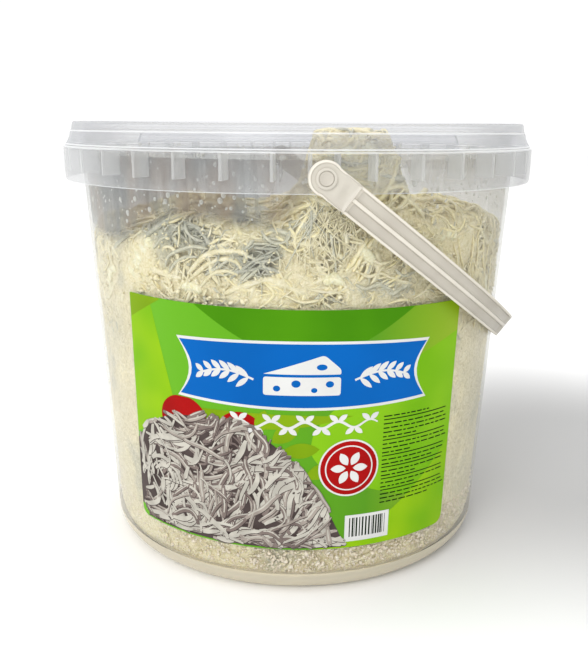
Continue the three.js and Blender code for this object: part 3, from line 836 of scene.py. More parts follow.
def core():
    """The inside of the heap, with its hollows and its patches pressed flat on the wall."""
    side_step, top_step, steps = ((1.35, 2.2, 440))
    rows = [4.2, 4.5, 5.1, 6.0, 7.2, 8.6, 10.2, 11.8, *np.arange(13.4, 178, side_step)]
    rows += [*np.arange(rows[-1] + 2.2, 236, top_step), 240, 243, 246]
    shape = spin([at(180, 100, s) for s in rows], steps)
    bmesh.ops.holes_fill(shape, edges=shape.edges[:], sides=steps + 2)
    flat = places_of(tidy(shape).verts)
    turn, s = turn_of(flat), flat[:, 2]
    places = on_heap(turn, s, 0)
    loose = np.where(s > 160, 1.0, stringy(turn, places[:, 2]) * step_up(s, 7, 17))
    smooth = smear_and_light_at(places)
    hollow = mottle(places, 11, 1) + 0.55 * mottle(places, 4.5, 2)
    threads = np.abs(mottle(places + 5 * mottle(places, 12, 5)[:, None], 2.6, 3))
    depth = -0.25 + (0.30 + loose * (0.8 + 2.4 * np.clip(hollow + 0.45, 0, 1.3))) * (1 - 0.75 * smooth)
    depth += (0.25 + 0.6 * loose) * threads + np.where(s < 185, spread(turn, places[:, 2], HOLLOWS), 0)
    for vert, place in zip(shape.verts, on_heap(turn, s, depth, 0.2)):
        vert.co = place * MM
    thing = piece("cheese_core", shape, CURD_CORE, sharp=3.0)
    mark(thing, "smeared_and_lit", smooth)
    mark(thing, "mould_and_shade", mould_and_shade_at(places))
    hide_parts("cheese")


core()


# ---- The shreds ----
rng = np.random.default_rng(20417)
SIDE_S, SIDE_R = 158, 98     # the side ends about here, and its usual radius
LEAST_GAP = 0.15
PRESSED = 0.22               # how far a shred's face is pressed over the smooth surface
SCALE = 1.0


def strand_mesh(name, strands, material, sides=0):
    """Shreds as one mesh: each strand is a line of points with a thickness at each, in millimetres."""
    curve = bpy.data.curves.new(name, "CURVE")
    curve.dimensions = "3D"
    curve.bevel_depth = MM
    curve.bevel_resolution = sides
    curve.use_fill_caps = True
    for points, radii in strands:
        spline = curve.splines.new("POLY")
        spline.points.add(len(points) - 1)
        spline.points.foreach_set("co", np.c_[points * MM, np.ones(len(points))].ravel())
        spline.points.foreach_set("radius", radii)
    holder = bpy.data.objects.new(name + "_lines", curve)
    bpy.context.scene.collection.objects.link(holder)
    mesh = bpy.data.meshes.new_from_object(holder.evaluated_get(bpy.context.evaluated_depsgraph_get()))
    bpy.data.objects.remove(holder)
    mesh.name = name
    mesh.shade_smooth()
    return placed(name, mesh, material)


FRONT = [(-8, 155, 46, 30, 1.0)]     # where the shreds that stand out lie over the others


def clumps(count, low, high, keep, seed):
    """Places for clumps of shreds, evenly over the side and top, kept by a rule."""
    places = []
    golden = 180 * (3 - math.sqrt(5))
    even = 0.7548776662          # a step that fills the height evenly
    for i in range(int(count * SCALE)):
        turn = (i * golden + seed * 37.0) % 360 - 180 + rng.uniform(-2, 2)
        s = low + (high - low) * ((i * even + seed * 0.31) % 1)
        if keep(turn, s):
            places.append((turn, s))
    return np.array(places)


def behind_label(turn, s, room=4):
    return LABEL_FROM + room < turn < LABEL_TO - room and LABEL_BOTTOM + room < s < LABEL_TOP - room


def starts_of(places, per, length, spacing, seed, curl, fan):
    """Where each shred of each bundle starts, the way it heads and its curl. The heading turns slowly over
    the heap, and the shreds of a bundle lie side by side."""
    starts, heads, curls = [], [], []
    headings = 2.9 * mottle(on_heap(places[:, 0], places[:, 1], 0), 26, seed)
    for (turn, s), heading in zip(places, headings):
        bundle = max(1, int(rng.normal(per, per * 0.35)))
        bundle_curl = rng.normal(0, curl)
        for j in range(bundle):
            aside = (j - (bundle - 1) / 2) * spacing * rng.uniform(0.6, 1.4)
            back = rng.uniform(-0.4, 0.4) * length
            h = heading + rng.normal(0, fan)
            r = SIDE_R if s < SIDE_S else max(8, SIDE_R - (s - 160))
            starts.append((turn + math.degrees((-math.sin(h) * aside + math.cos(h) * back) / r),
                           s + math.cos(h) * aside + math.sin(h) * back))
            heads.append(h)
            curls.append(bundle_curl + rng.normal(0, curl * 0.7))
    return np.array(starts), np.array(heads), np.array(curls)


def shred_bundle(places, per, length, thick, spacing, seed, curl=0.11, wander=0.5, step=2.0, lift=0.0,
                 dive=2.2, layers=1.9, fan=0.36):
    """Bundles of shreds that wander over the heap; returns a list of strands."""
    where, heads, curls = starts_of(places, per, length, spacing, seed, curl, fan)
    n = len(where)
    lengths = length * rng.uniform(0.4, 1.35, n)
    most = int(math.ceil(length * 1.35 / step)) + 1
    track = np.zeros((n, most, 2))
    for k in range(most):
        track[:, k] = where
        points = on_heap(where[:, 0], where[:, 1], 0)
        heads = heads + curls + wander * mottle(points, 7, seed + 40)
        r = np.maximum(np.hypot(points[:, 0], points[:, 1]), 6)
        where = where + step * np.stack([np.degrees(np.cos(heads) / r), np.sin(heads)], axis=-1)
        where[:, 1] = np.clip(where[:, 1], 5.0, 244)
    radius = thick * rng.uniform(0.55, 1.4, n) / 2
    layer = rng.uniform(0, 1, n) ** 1.5
    sink = 0.45 * (spread(track[:, 0, 0], track[:, 0, 1], FRONT) > 0.3)
    strands = []
    for i in range(n):
        count = max(4, int(lengths[i] / step))
        line = track[i, :count]
        share = np.linspace(-1, 1, count)
        ends = dive * np.abs(share) ** 4 * rng.uniform(0.2, 1)
        depth = radius[i] - PRESSED + sink[i] + layer[i] * layers + ends
        arch = lift * rng.uniform(0, 1) * (1 - share ** 2)
        depth = depth - np.where(line[:, 1] < SIDE_S, 0, arch)
        points = on_heap(line[:, 0], line[:, 1], depth, radius[i] - LEAST_GAP)
        waves = 1 + 0.16 * np.sin(np.arange(count) * 1.7 + 6 * layer[i])
        strands.append((points, radius[i] * (1 - 0.6 * np.abs(share) ** 5) * waves))
    return strands


def sort_by_growth(strands):
    """Splits shreds into cream, ivory, grey and mould-covered ones by where they lie; the painted shade low
    at the right turns some grey and the painted light under the lid turns some pale.
    """
    middles = np.array([points[len(points) // 2] for points, _ in strands])
    mould_and_shade = mould_and_shade_at(middles) + rng.normal(0, 0.16, len(strands))
    smeared_and_lit = smear_and_light_at(middles) + rng.normal(0, 0.25, len(strands))
    kinds = np.select([mould_and_shade > 0.72, mould_and_shade > 0.36, smeared_and_lit > 0.42], [3, 2, 0], 1)
    return [[strands[i] for i in np.flatnonzero(kinds == k)] for k in range(4)]


def through(corners, thick, depth=0.0, taper=0.5, step=1.6):
    """One shred laid through a few places given as (angle, height), bent smoothly between them."""
    corners = np.array(corners, float)
    padded = np.vstack([2 * corners[0] - corners[1], corners, 2 * corners[-1] - corners[-2]])
    line = []
    for p0, p1, p2, p3 in zip(padded, padded[1:], padded[2:], padded[3:]):
        count = max(2, int(np.hypot((p2[0] - p1[0]) * 1.78, p2[1] - p1[1]) / step))
        for t in np.arange(count) / count:
            line.append(0.5 * (2 * p1 + (p2 - p0) * t + (2 * p0 - 5 * p1 + 4 * p2 - p3) * t * t
                               + (3 * p1 - p0 - 3 * p2 + p3) * t ** 3))
    line = np.array(line + [corners[-1]])
    share = np.linspace(-1, 1, len(line))
    radius = thick / 2 * (1 - taper * np.abs(share) ** 4) * (1 + 0.10 * np.sin(np.arange(len(line)) * 1.3))
    points = on_heap(line[:, 0], line[:, 1], radius - PRESSED + depth, radius.max() - LEAST_GAP)
    return points, radius


# The shreds that stand out at the front, above the label.
FRONT_IVORY = [
    ([(-33, 165), (-32.7, 160), (-33.4, 154.7)], 0.9, 0),
    ([(-43.2, 144), (-38.1, 142.7), (-33.4, 141.5)], 4.2, 0),
    ([(-31.4, 143.9), (-27, 151.5), (-23, 154.2), (-19.5, 154.6), (-16.6, 153.7), (-17.1, 150.1)], 3.0, 0),
    ([(-31, 141.5), (-26.5, 148), (-22.5, 151), (-19, 150.4), (-17.6, 147)], 2.6, 0.5),
    ([(-28, 139), (-25, 144.5), (-21.5, 146.5), (-18.5, 145.2)], 1.8, 0.2),
    ([(-22.5, 137), (-17, 140.8), (-12.5, 143.4)], 3.4, 0),
    ([(-15.4, 141.4), (-12.3, 143.6), (-8.1, 141.8), (-2.6, 137.4)], 4.6, 0),
    ([(-1.4, 142.2), (1.4, 144.6), (4.2, 144.2), (6.4, 140.6)], 2.8, 0),
    ([(-6, 136), (-3.4, 134.6), (0, 135.6)], 1.6, 0),
    ([(9.5, 150), (12, 151.4), (14, 149.6), (16.6, 150.4)], 1.8, 0),
    ([(9.3, 146.2), (11.6, 144.6), (14.4, 145.8), (17, 143.6)], 1.7, 0.3)]
FRONT_CREAM = [
    ([(-37.4, 165.6), (-33.1, 169.4), (-30.4, 171.8)], 1.7, 0),
    ([(-36, 164.4), (-33.6, 166.6), (-31.4, 170)], 1.2, 0.3),
    ([(-23.6, 162.8), (-21.6, 168), (-20.3, 170.8), (-19.4, 166.4), (-18.4, 162.6)], 1.7, 0),
    ([(-1, 176.4), (-3.7, 167), (-5.6, 160.4), (-4.9, 153.8)], 1.7, 0),
    ([(10.8, 160), (7.8, 151.4), (6.1, 147.2)], 2.4, 0),
    ([(12.2, 160), (9.3, 151.8), (7.6, 146.6)], 2.2, 0.2),
    ([(-12.3, 142.4), (-10.2, 138.4), (-11.2, 135.4), (-13.8, 131.6)], 1.7, 0.2),
    ([(27.6, 164.6), (30, 168.9), (33.1, 164.4)], 1.8, 0),
    ([(40.6, 162.6), (44, 160.6), (48.4, 159.2)], 1.5, 0),
    ([(36.6, 157.4), (38.2, 150), (40.2, 143.4)], 0.9, 0), ([(35, 155), (36.8, 149), (38, 142)], 0.8, 0),
    ([(43, 158), (43.6, 150), (42.6, 141)], 1.0, 0), ([(45.6, 156), (46.8, 147), (46.2, 136)], 0.9, 0.1),
    ([(49, 155), (50.4, 146), (52.4, 138)], 1.2, 0), ([(53, 152), (52.4, 141), (54, 130)], 0.9, 0),
    ([(47.6, 132), (49.6, 124), (49.2, 114)], 1.1, 0), ([(56, 146), (57.6, 135), (56.8, 124)], 1.0, 0.1),
    ([(34, 172), (38, 167), (43, 165.4), (49, 166)], 2.2, 0), ([(30, 175), (35, 170.6), (40, 168)], 1.6, 0.3),
    ([(-25, 157), (-22, 159.4), (-18.6, 158.4)], 1.3, 0.4), ([(-9, 158), (-6, 155), (-3.4, 156.6)], 1.3, 0.2),
    ([(15, 168), (17.6, 160), (19.4, 152)], 1.0, 0.2), ([(-10, 178), (-11, 170), (-9.4, 162)], 1.0, 0)]
FRONT_GREY = [
    ([(-37.6, 146), (-36.4, 150.6), (-32.5, 154), (-29.2, 155.6), (-25.7, 155)], 1.8, 0),
    ([(-36.6, 143.6), (-34.6, 148.2), (-31.6, 150.8), (-28.4, 151.4)], 1.6, 0.3),
    ([(-41, 153), (-38.4, 157.4), (-36.2, 158.6)], 1.4, 0.3),
    ([(-18.6, 141), (-15, 146), (-12.2, 151)], 1.6, 0.8),
    ([(8.4, 141.6), (11, 139.6), (14, 141.2), (17.4, 138.6)], 1.7, 0.2),
    ([(18, 147), (20.4, 144), (23.6, 145.4)], 1.6, 0.2)]
TORN_CHUNKS = [
    ([(-40.8, 160.4), (-43.4, 155), (-46.4, 149), (-49.6, 143), (-53.4, 136)], 10.5),
    ([(-33.4, 137.6), (-30.4, 139.4), (-28, 137)], 4.5), ([(0.6, 143), (3.4, 144.2), (5.8, 142)], 4.6),
    ([(9.4, 156), (11.2, 153), (12.4, 148.6)], 5.0), ([(30, 158), (33, 160), (36.6, 158)], 6.0),
    ([(-60, 142), (-63, 136), (-64.6, 128)], 7.0), ([(52, 140), (55, 133), (56.6, 126)], 6.5),
    ([(100, 150), (104, 146), (109, 143)], 9.0), ([(150, 138), (154, 132), (156, 124)], 8.5),
    ([(-140, 150), (-136, 145), (-133, 138)], 9.5), ([(-95, 146), (-99, 139), (-104, 136)], 8.0),
    ([(178, 96), (181, 90), (186, 87)], 8.0), ([(3.2, 177), (4.5, 184), (5, 190), (6.5, 196), (7, 204)], 8.0),
    ([(9.6, 175), (10.6, 183), (11, 190), (9.5, 197), (9, 206)], 9.0),
    ([(1.2, 187), (2.6, 193), (3.4, 199)], 4.5), ([(-120, 60), (-117, 54), (-116, 46)], 7.0)]


def chunks():
    """Torn lumps of curd pressed on the wall, with a swollen, pitted skin, as one mesh."""
    strands = [through(line, thick, 0, taper=0.55, step=0.9) for line, thick in TORN_CHUNKS]
    lumps = strand_mesh("torn_chunks", strands, CURD_CHUNK, 6).data
    points = places_of(lumps.vertices)
    normals = np.zeros(points.size)
    lumps.vertices.foreach_get("normal", normals)
    swell = 0.9 * mottle(points, 3.4, 21) + 0.5 * np.abs(mottle(points * [1, 1, 0.5], 1.4, 22))
    moved = points + normals.reshape(-1, 3) * swell[:, None]
    most = np.where(moved[:, 2] > PLUG_Z, PLUG_R, inner_radius(moved[:, 2]) + 0.2)
    moved[:, :2] *= np.minimum(1, most / np.hypot(moved[:, 0], moved[:, 1]))[:, None]
    moved[:, 2] = np.minimum(moved[:, 2], LID_PANEL - LID_WALL)
    lumps.vertices.foreach_set("co", (moved * MM).ravel())


def loose(low, gain):
    """A rule that keeps more places where the cheese is loose, few on bare spots, none behind the label."""
    def keep(turn, s):
        if behind_label(turn, s):
            return False
        share = low + gain * stringy(turn, min(s, 160))
        return rng.uniform() < share * (1 - min(0.92, spread(turn, s, BARE)))
    return keep


def over_top(_, s):
    return rng.uniform() < min(1, (250 - s) / 88)


def drawn_threads():
    """A web of drawn threads between the lump under the lid and the shreds below it."""
    threads = []
    for _ in range(46):
        foot, head = rng.uniform(-9, 10), rng.uniform(-6, 7)
        top, low = rng.uniform(166, 179), rng.uniform(148, 160)
        middle = (foot + head) / 2 + rng.uniform(-3, 3)
        corners = [(head, top), (middle, (top + low) / 2 + rng.uniform(-3, 3)), (foot, low)]
        threads.append(through(corners, rng.uniform(0.35, 0.8), rng.uniform(0, 0.7)))
    return threads


strands = shred_bundle(clumps(330, 116, 174, loose(0.15, 0.85), 1), 7, 20, 1.5, 1.5, 5)
strands += shred_bundle(clumps(130, 118, 172, loose(0.05, 0.9), 4), 2, 24, 2.8, 3.0, 15, layers=1.2)
strands += shred_bundle(clumps(260, 6, 118, loose(0.06, 0.8), 7), 5, 18, 1.3, 1.4, 25)
strands += shred_bundle(clumps(250, 162, 243, over_top, 2), 7, 24, 1.8, 1.8, 6, lift=3.0, dive=3.0)
strands += shred_bundle(clumps(80, 164, 240, over_top, 5), 3, 28, 3.0, 3.2, 16, lift=3.0, dive=3.0)
cream, ivory, grey, mould = sort_by_growth(strands)
for kind, group, laid, material in (
        ("cream", cream, FRONT_CREAM, CURD_CREAM), ("ivory", ivory, FRONT_IVORY, CURD_IVORY),
        ("grey", grey, FRONT_GREY, CURD_GREY), ("mould", mould, [], CURD_MOULD)):
    strand_mesh("shreds_" + kind, group + [through(*shred) for shred in laid], material)

fine = shred_bundle(clumps(150, 112, 186, loose(0.12, 0.9), 3), 6, 17, 0.7, 0.85, 9, lift=2.0, dive=1.2,
                    layers=0.9)
fuzz = {"curl": 0.5, "wander": 1.1, "step": 1.5, "dive": 0.5, "fan": 1.2}
fluff = shred_bundle(clumps(800, 110, 206, loose(0.3, 0.7), 11), 9, 7, 0.62, 3.2, 12, lift=1.0, layers=1.0,
                     **fuzz)
fluff += shred_bundle(clumps(260, 6, 112, loose(0.25, 0.75), 13), 8, 7, 0.6, 3.2, 14, layers=0.8, **fuzz)
fine += drawn_threads()
cream, ivory, grey, mould = sort_by_growth(fine)
strand_mesh("threads_pale", cream + ivory, CURD_IVORY)
strand_mesh("threads_grey", grey + mould, CURD_GREY)
cream, ivory, grey, mould = sort_by_growth(fluff)
strand_mesh("fluff_pale", cream + ivory, CURD_IVORY)
strand_mesh("fluff_grey", grey, CURD_GREY)
strand_mesh("fluff_mould", mould, CURD_MOULD)
chunks()


# ---- The crumbs ----
PACKED_S, PACKED_TURN = (130, 144), (-48, -16)       # a patch at the front that is packed with coarse crumbs


def ball(subdivisions):
    """The points and triangles of a round lump."""
    shape = bmesh.new()
    bmesh.ops.create_icosphere(shape, subdivisions=subdivisions, radius=1.0)
    points = np.array([v.co for v in shape.verts])
    triangles = np.array([[v.index for v in f.verts] for f in shape.faces])
    shape.free()
    return points, triangles


def mesh_of(name, copies, triangles):
    """Copies of one lump as one mesh; copies holds each one's points in millimetres."""
    firsts = np.arange(copies.shape[0]) * copies.shape[1]
    corners = (triangles[None] + firsts[:, None, None]).reshape(-1, 3)
    mesh = bpy.data.meshes.new(name)
    mesh.from_pydata((copies.reshape(-1, 3) * MM).tolist(), [], corners.tolist())
    mesh.shade_smooth()
    return mesh


def scattered(places, sizes, seed):
    """Small irregular lumps as one mesh: one rounded lump, repeated with its own turn, size and stretch."""
    points, triangles = ball(1)
    draw = np.random.default_rng(seed)
    count = len(places)
    spins = np.linalg.qr(draw.normal(size=(count, 3, 3)))[0]
    spins *= np.linalg.det(spins)[:, None, None]
    stretch = draw.uniform(0.55, 1.45, (count, 1, 3))
    dents = 1 + 0.28 * draw.normal(size=(count, len(points), 1)).clip(-1.6, 1.6)
    copies = (points[None] * dents * stretch) @ spins * sizes[:, None, None] + places[:, None, :]
    return mesh_of("lumps", copies, triangles)


def crumb_places(count, keep, low, high, bury):
    count = int(count * SCALE)
    turns, s = rng.uniform(-180, 180, count), rng.uniform(low, high, count)
    kept = np.array([keep(t, v) for t, v in zip(turns, s)])
    turns, s = turns[kept], s[kept]
    coarse, small = rng.uniform(0.5, 1.5, len(s)), 0.25 + rng.gamma(2.0, 0.13, len(s))
    sizes = np.where(packed(turns, s), coarse, np.minimum(small, 1.0))
    low_down = s < 14
    return on_heap(turns, s, sizes * bury - 0.15 + 0.5 * low_down, 0.4 + 0.6 * sizes * low_down), sizes


def packed(turn, s):
    return (PACKED_S[0] < s) & (s < PACKED_S[1]) & (PACKED_TURN[0] < turn) & (turn < PACKED_TURN[1])


def all_over(turn, s):
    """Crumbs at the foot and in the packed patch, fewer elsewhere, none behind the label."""
    if behind_label(turn, s):
        return False
    return rng.uniform() < (0.95 if s < 24 else 1 if packed(turn, s) else 0.2 + 0.15 * (s > 130))


def front_foot(turn, _):
    return rng.uniform() < 0.08 + 0.9 * math.exp(-((turn - 10) / 40) ** 2)


spots, sizes = crumb_places(10500, all_over, 7, 240, 0.75)
placed("crumbs", scattered(spots, sizes, 31), CURD_IVORY)
spots, sizes = crumb_places(9000, front_foot, 9, 27, 0.35)
placed("crumbs_low", scattered(spots, sizes * 0.9, 32), CURD_CRUMB)


# ---- Condensation ----
def drops():
    """Beads of condensed water on the inside of the wall above the heap, flattened on it."""
    turns = rng.uniform(-180, 180, int(900 * SCALE))
    z = rng.uniform(160, 192, len(turns))
    sizes = 0.25 + rng.gamma(1.6, 0.22, len(turns))
    kept = z > top_at(np.radians(turns), inner_radius(HEAP_LEVEL) - 8) + 1.5
    turns, z, sizes = turns[kept], z[kept, None], np.minimum(sizes[kept, None], 1.3)
    points, triangles = ball(2)
    out, aside, up = points.T
    a = np.radians(turns)[:, None]
    r = inner_radius(z) + sizes * (out * 0.4 - 0.15)
    side = sizes * aside
    height = z + sizes * up * (1.0 + 0.25 * (up < 0))
    x, y = r * np.sin(a) + side * np.cos(a), -r * np.cos(a) + side * np.sin(a)
    return mesh_of("drops", np.stack([x, y, height], axis=-1), triangles)


placed("condensation", drops(), water())

# ---- The label: a generic print, laid out in millimetres, x across from its middle and y up ----
LABEL_MID_Z = (LABEL_BOTTOM + LABEL_TOP) / 2
LABEL_MIDDLE = (LABEL_FROM + LABEL_TO) / 2
LABEL_HALF = math.radians(LABEL_TO - LABEL_FROM) * wall_radius(LABEL_MID_Z) / 2
FILM_T = 0.12
INK_T = 0.02
LAYER = 0.012                # each layer of print lies this much over the one below


def cut_upright(shape, x, least=0.6):
    """Cuts the faces that reach over an upright line, so that they can bend there."""
    near = []
    for face in shape.faces:
        places = [v.co.x for v in face.verts]
        if min(places) < x - least and max(places) > x + least:
            near.append(face)
    parts = {e for f in near for e in f.edges} | {v for f in near for v in f.verts}
    bmesh.ops.bisect_plane(shape, geom=near + list(parts), dist=1e-6, plane_co=(x, 0, 0), plane_no=(1, 0, 0))


def wrapped(shape, low, thick):
    """Flat figures on the label given a thickness, tilted with the label and bent round the wall."""
    for x in range(-80, 81, 2):
        cut_upright(shape, x)
    grown = bmesh.ops.extrude_face_region(shape, geom=shape.faces[:], use_keep_orig=True)["geom"]
    for g in grown:
        if isinstance(g, bmesh.types.BMVert):
            g.co.z += thick
    tilt = math.tan(math.radians(LABEL_TILT))
    for vert in shape.verts:
        x, y, n = vert.co
        along, z = x + (y - LABEL_MID_Z) * tilt, y - x * tilt
        turn = LABEL_MIDDLE + math.degrees(along / wall_radius(z))
        vert.co = at(turn, wall_radius(z) + low + n, z)
    bmesh.ops.recalc_face_normals(shape, faces=shape.faces)
    return shape


class Print:
    """Figures of one ink; layer says how many layers of print lie under each."""

    def __init__(self, name, low, high, patch):
        self.name, self.shape, self.material = name, bmesh.new(), ink(name, low, high, patch)

    def area(self, outline, layer):
        """A filled outline."""
        self.shape.faces.new([self.shape.verts.new((x, y, layer * LAYER)) for x, y in outline])

    def box(self, left, low, right, high, layer):
        self.area([(left, low), (right, low), (right, high), (left, high)], layer)

    def rows(self, rows, layer):
        """Faces between rows of two points."""
        rows = [[self.shape.verts.new((x, y, layer * LAYER)) for x, y in row] for row in rows]
        for (a, b), (c, d) in zip(rows, rows[1:]):
            self.shape.faces.new([a, b, d, c])

    def strip(self, line, widths, layer):
        """A stroke along a line, with a width at each point."""
        line, rows = [Vector(p) for p in line], []
        for i, (here, width) in enumerate(zip(line, widths)):
            ahead = (line[min(i + 1, len(line) - 1)] - line[max(i - 1, 0)]).normalized()
            side = Vector((-ahead.y, ahead.x)) * width / 2
            rows.append([here - side, here + side])
        self.rows(rows, layer)

    def band(self, start, end, low, high, layer, step=2.0):
        """The area between two curves, from one x to another."""
        xs = np.linspace(start, end, max(2, int((end - start) / step) + 1))
        self.rows([[(x, low(x)), (x, high(x))] for x in xs], layer)

    def finish(self):
        piece("print_" + self.name, wrapped(self.shape, FILM_T - 0.03, INK_T), self.material)


def oval(cx, cy, rx, ry, steps=48):
    turns = [math.tau * i / steps for i in range(steps)]
    return [(cx + rx * math.cos(turn), cy + ry * math.sin(turn)) for turn in turns]


def plaque(cx, cy, half_w, half_h, waist):
    """A wide plate with hollowed ends and a gently arched top and bottom."""
    outline = []
    for side in (1, -1):
        outline += [(cx - side * half_w * (1 - 2 * t), cy - side * (half_h + 1.6 * math.sin(math.pi * t)))
                    for t in np.linspace(0, 1, 25)]
        outline += [(cx + side * (half_w - waist * math.sin(math.pi * t)), cy - side * half_h * (1 - 2 * t))
                    for t in np.linspace(0.08, 0.92, 9)]
    return outline


def leaf(cx, cy, length, width, turn):
    """A pointed leaf, from its stalk at (cx, cy)."""
    a = math.radians(turn)
    outline = [(t, width / 2 * math.sin(math.pi * t) ** 0.8) for t in np.linspace(0, 1, 9)]
    outline += [(t, -width / 2 * math.sin(math.pi * t) ** 0.8) for t in np.linspace(0.9, 0.1, 8)]
    return [(cx + length * u * math.cos(a) - v * math.sin(a), cy + length * u * math.sin(a) + v * math.cos(a))
            for u, v in outline]


def label_film():
    shape = bmesh.new()
    corners = [(side * LABEL_HALF, LABEL_BOTTOM) for side in (-1, 1)]
    corners += [(side * LABEL_HALF, LABEL_TOP) for side in (1, -1)]
    outline = rounded(corners, [LABEL_CORNER, LABEL_CORNER, 0.8, 0.8], 6)
    shape.faces.new([shape.verts.new((x, y, 0)) for x, y in outline])
    return wrapped(shape, -0.02, FILM_T)


SHREDS, LOW_SHREDS = 640, 120        # shreds drawn in the picture, the last of them along its foot
SHREDS_RIGHT = 25                    # the picture's shreds end here


def picture_top(x):
    """The upper edge of the picture of shreds."""
    return 86 - 62 * abs((x + 38) / 64) ** 2.6


def in_picture(x, y):
    inside = -LABEL_HALF + 1.2 < x < SHREDS_RIGHT and LABEL_BOTTOM + 1.0 < y < picture_top(x) - 0.8
    return inside and math.hypot(x + LABEL_HALF, y - LABEL_BOTTOM) >= 5


def flow(x, y):
    return 2.6 * noise.noise(Vector((x / 26, y / 22, 4.5))) + 0.5


def picture_ribbons(pale, middle, mauve, dark):
    """A heap of shreds drawn as strokes, each with a shadow under it and a light edge on it."""
    draw = np.random.default_rng(77)
    for k in range(SHREDS):
        low_down = k >= SHREDS - LOW_SHREDS
        x = draw.uniform(-LABEL_HALF + 1, SHREDS_RIGHT)
        y = draw.uniform(LABEL_BOTTOM + 1, 30 if low_down else 86)
        if y > picture_top(x) - 1:
            continue
        heading, width, line = flow(x, y) + draw.normal(0, 0.3), draw.uniform(0.8, 2.6), []
        if low_down:
            heading = draw.normal(0, 0.25)
        curl = draw.normal(0, 0.10)
        for _ in range(int(draw.uniform(5, 14))):
            if not in_picture(x, y):
                break
            line.append((x, y))
            heading += curl + 0.5 * noise.noise(Vector((x / 7, y / 7, 9.5)))
            x, y = x + 2 * math.cos(heading), y + 2 * math.sin(heading)
        if len(line) < 4:
            continue
        shape = np.sin(np.linspace(0.3, math.pi - 0.3, len(line))) ** 0.5
        layer = 9 + (k * 7 % 23) * 0.9
        dark.strip([(px + 0.1, py - 0.22) for px, py in line], width * shape + 0.22, layer)
        lit = noise.noise(Vector((x / 20, y / 16, 1.5))) + 0.004 * (y - 50) + draw.normal(0, 0.28)
        used = pale if lit > 0.0 else middle if lit > -0.25 else mauve
        used.strip(line, width * shape, layer + 0.3)
        if used is not pale and width > 1.2:
            edge = [(px - 0.1, py + width * 0.24) for px, py in line[1:-1]]
            pale.strip(edge, 0.28 * width * shape[1:-1], layer + 0.6)


def small_print(dark, layer):
    """Rows of dashes where a pack has its small print, with ruled lines between the parts."""
    draw = np.random.default_rng(5)
    y, left, wide = 84.0, 40.0, 35
    parts = [1, 4, 3, 2, 2, 2, 3]
    for part, rows in enumerate(parts):
        for row in range(rows):
            x, end = left, left + wide * (1.0 if row < rows - 1 else draw.uniform(0.35, 0.8))
            while x < end - 1:
                dash = draw.uniform(1.2, 4.6)
                dark.box(x, y, x + dash, y + 0.55, layer)
                x += dash + 0.8
            y -= 2.0
        if part < len(parts) - 1:
            dark.box(left, y + 0.5, left + wide, y + 0.95, layer)
            y -= 1.5


def bar_block(white, dark, layer):
    """A plain block of upright bars on white."""
    white.box(24, 26, 45, 39, layer)
    draw = np.random.default_rng(9)
    x = 26.0
    while x < 43:
        wide = draw.choice([0.25, 0.5, 0.75])
        dark.box(x, 28.2, x + wide, 37.6, layer + 1)
        x += wide + draw.choice([0.3, 0.5, 0.8])


def ground_bands(light, lime, deep, olive):
    """The wide curved bands of green that make up the label's ground."""
    edge, top, low_edge = LABEL_HALF - 0.15, LABEL_TOP - 0.1, LABEL_BOTTOM + 0.1

    def corner_top(x):
        aside = abs(x) - edge + LABEL_CORNER
        return low_edge + LABEL_CORNER - math.sqrt(max(0, LABEL_CORNER ** 2 - aside ** 2))

    def sweep(x):
        return low_edge + 44 * ((x - 10) / 69) ** 1.6

    def fan(x):
        return ((x - 8) / (edge - 8)) ** 0.5

    def arch(x, middle, half):
        return math.cos((x - middle) / half * 1.57)

    light.band(8, edge, lambda x: 72 - 34 * fan(x), lambda x: 72 + 46 * fan(x), 1, step=1.0)
    deep.band(-42, 52, lambda x: top - 20 * arch(x, 5, 47), lambda x: top, 1)
    lime.band(10, edge - LABEL_CORNER, lambda x: low_edge, lambda x: sweep(x) + 0.1, 2)
    lime.band(edge - LABEL_CORNER, edge, corner_top, sweep, 2)
    lime.band(-edge, -52, lambda x: 66 + (x + edge) * 0.6, lambda x: min(top, 132 - max(0, x + 66) * 3.6), 2)
    olive.band(-edge, -60, lambda x: 121 + (x + edge) * 0.55, lambda x: top, 3)
    olive.band(-52, 26, lambda x: 86 - 6 * arch(x, -13, 39), lambda x: 86 + arch(x, -13, 39), 3)


def sprig(white, x, y, side, leaves, length, layer):
    """A stem with pairs of leaves, running to one side."""
    stem = [(x + side * 2 * i, y + 3.2 * math.sin(i / 12 * 3.0)) for i in range(leaves * 2 + 1)]
    white.strip(stem, [0.9] * len(stem), layer)
    for i in range(1, len(stem) - 1, 2):
        for up in (1, -1):
            lean = (0 if side > 0 else 180) + side * up * 40
            white.area(leaf(*stem[i], length - 0.25 * i, 2.3, lean), layer + 0.5)


def vine(white, start, end, y, layer):
    """A gently waving stem with a pair of small leaves on each crest."""
    wave, height, points = 14.0, 1.5, 90
    xs = np.linspace(start, end, points)
    widths = [1.3 * math.sin(math.pi * (0.08 + 0.84 * i / (points - 1))) ** 0.5 for i in range(points)]
    white.strip([(x, y + height * math.sin((x - start) / wave * math.tau)) for x in xs], widths, layer)
    for k in range(int(2 * (end - start) / wave)):
        root, up = start + (k + 0.5) * wave / 2, 1 if k % 2 == 0 else -1
        for lean in (38, 142):
            white.area(leaf(root, y + up * height, 4.8, 2.3, up * lean), layer + 0.5)


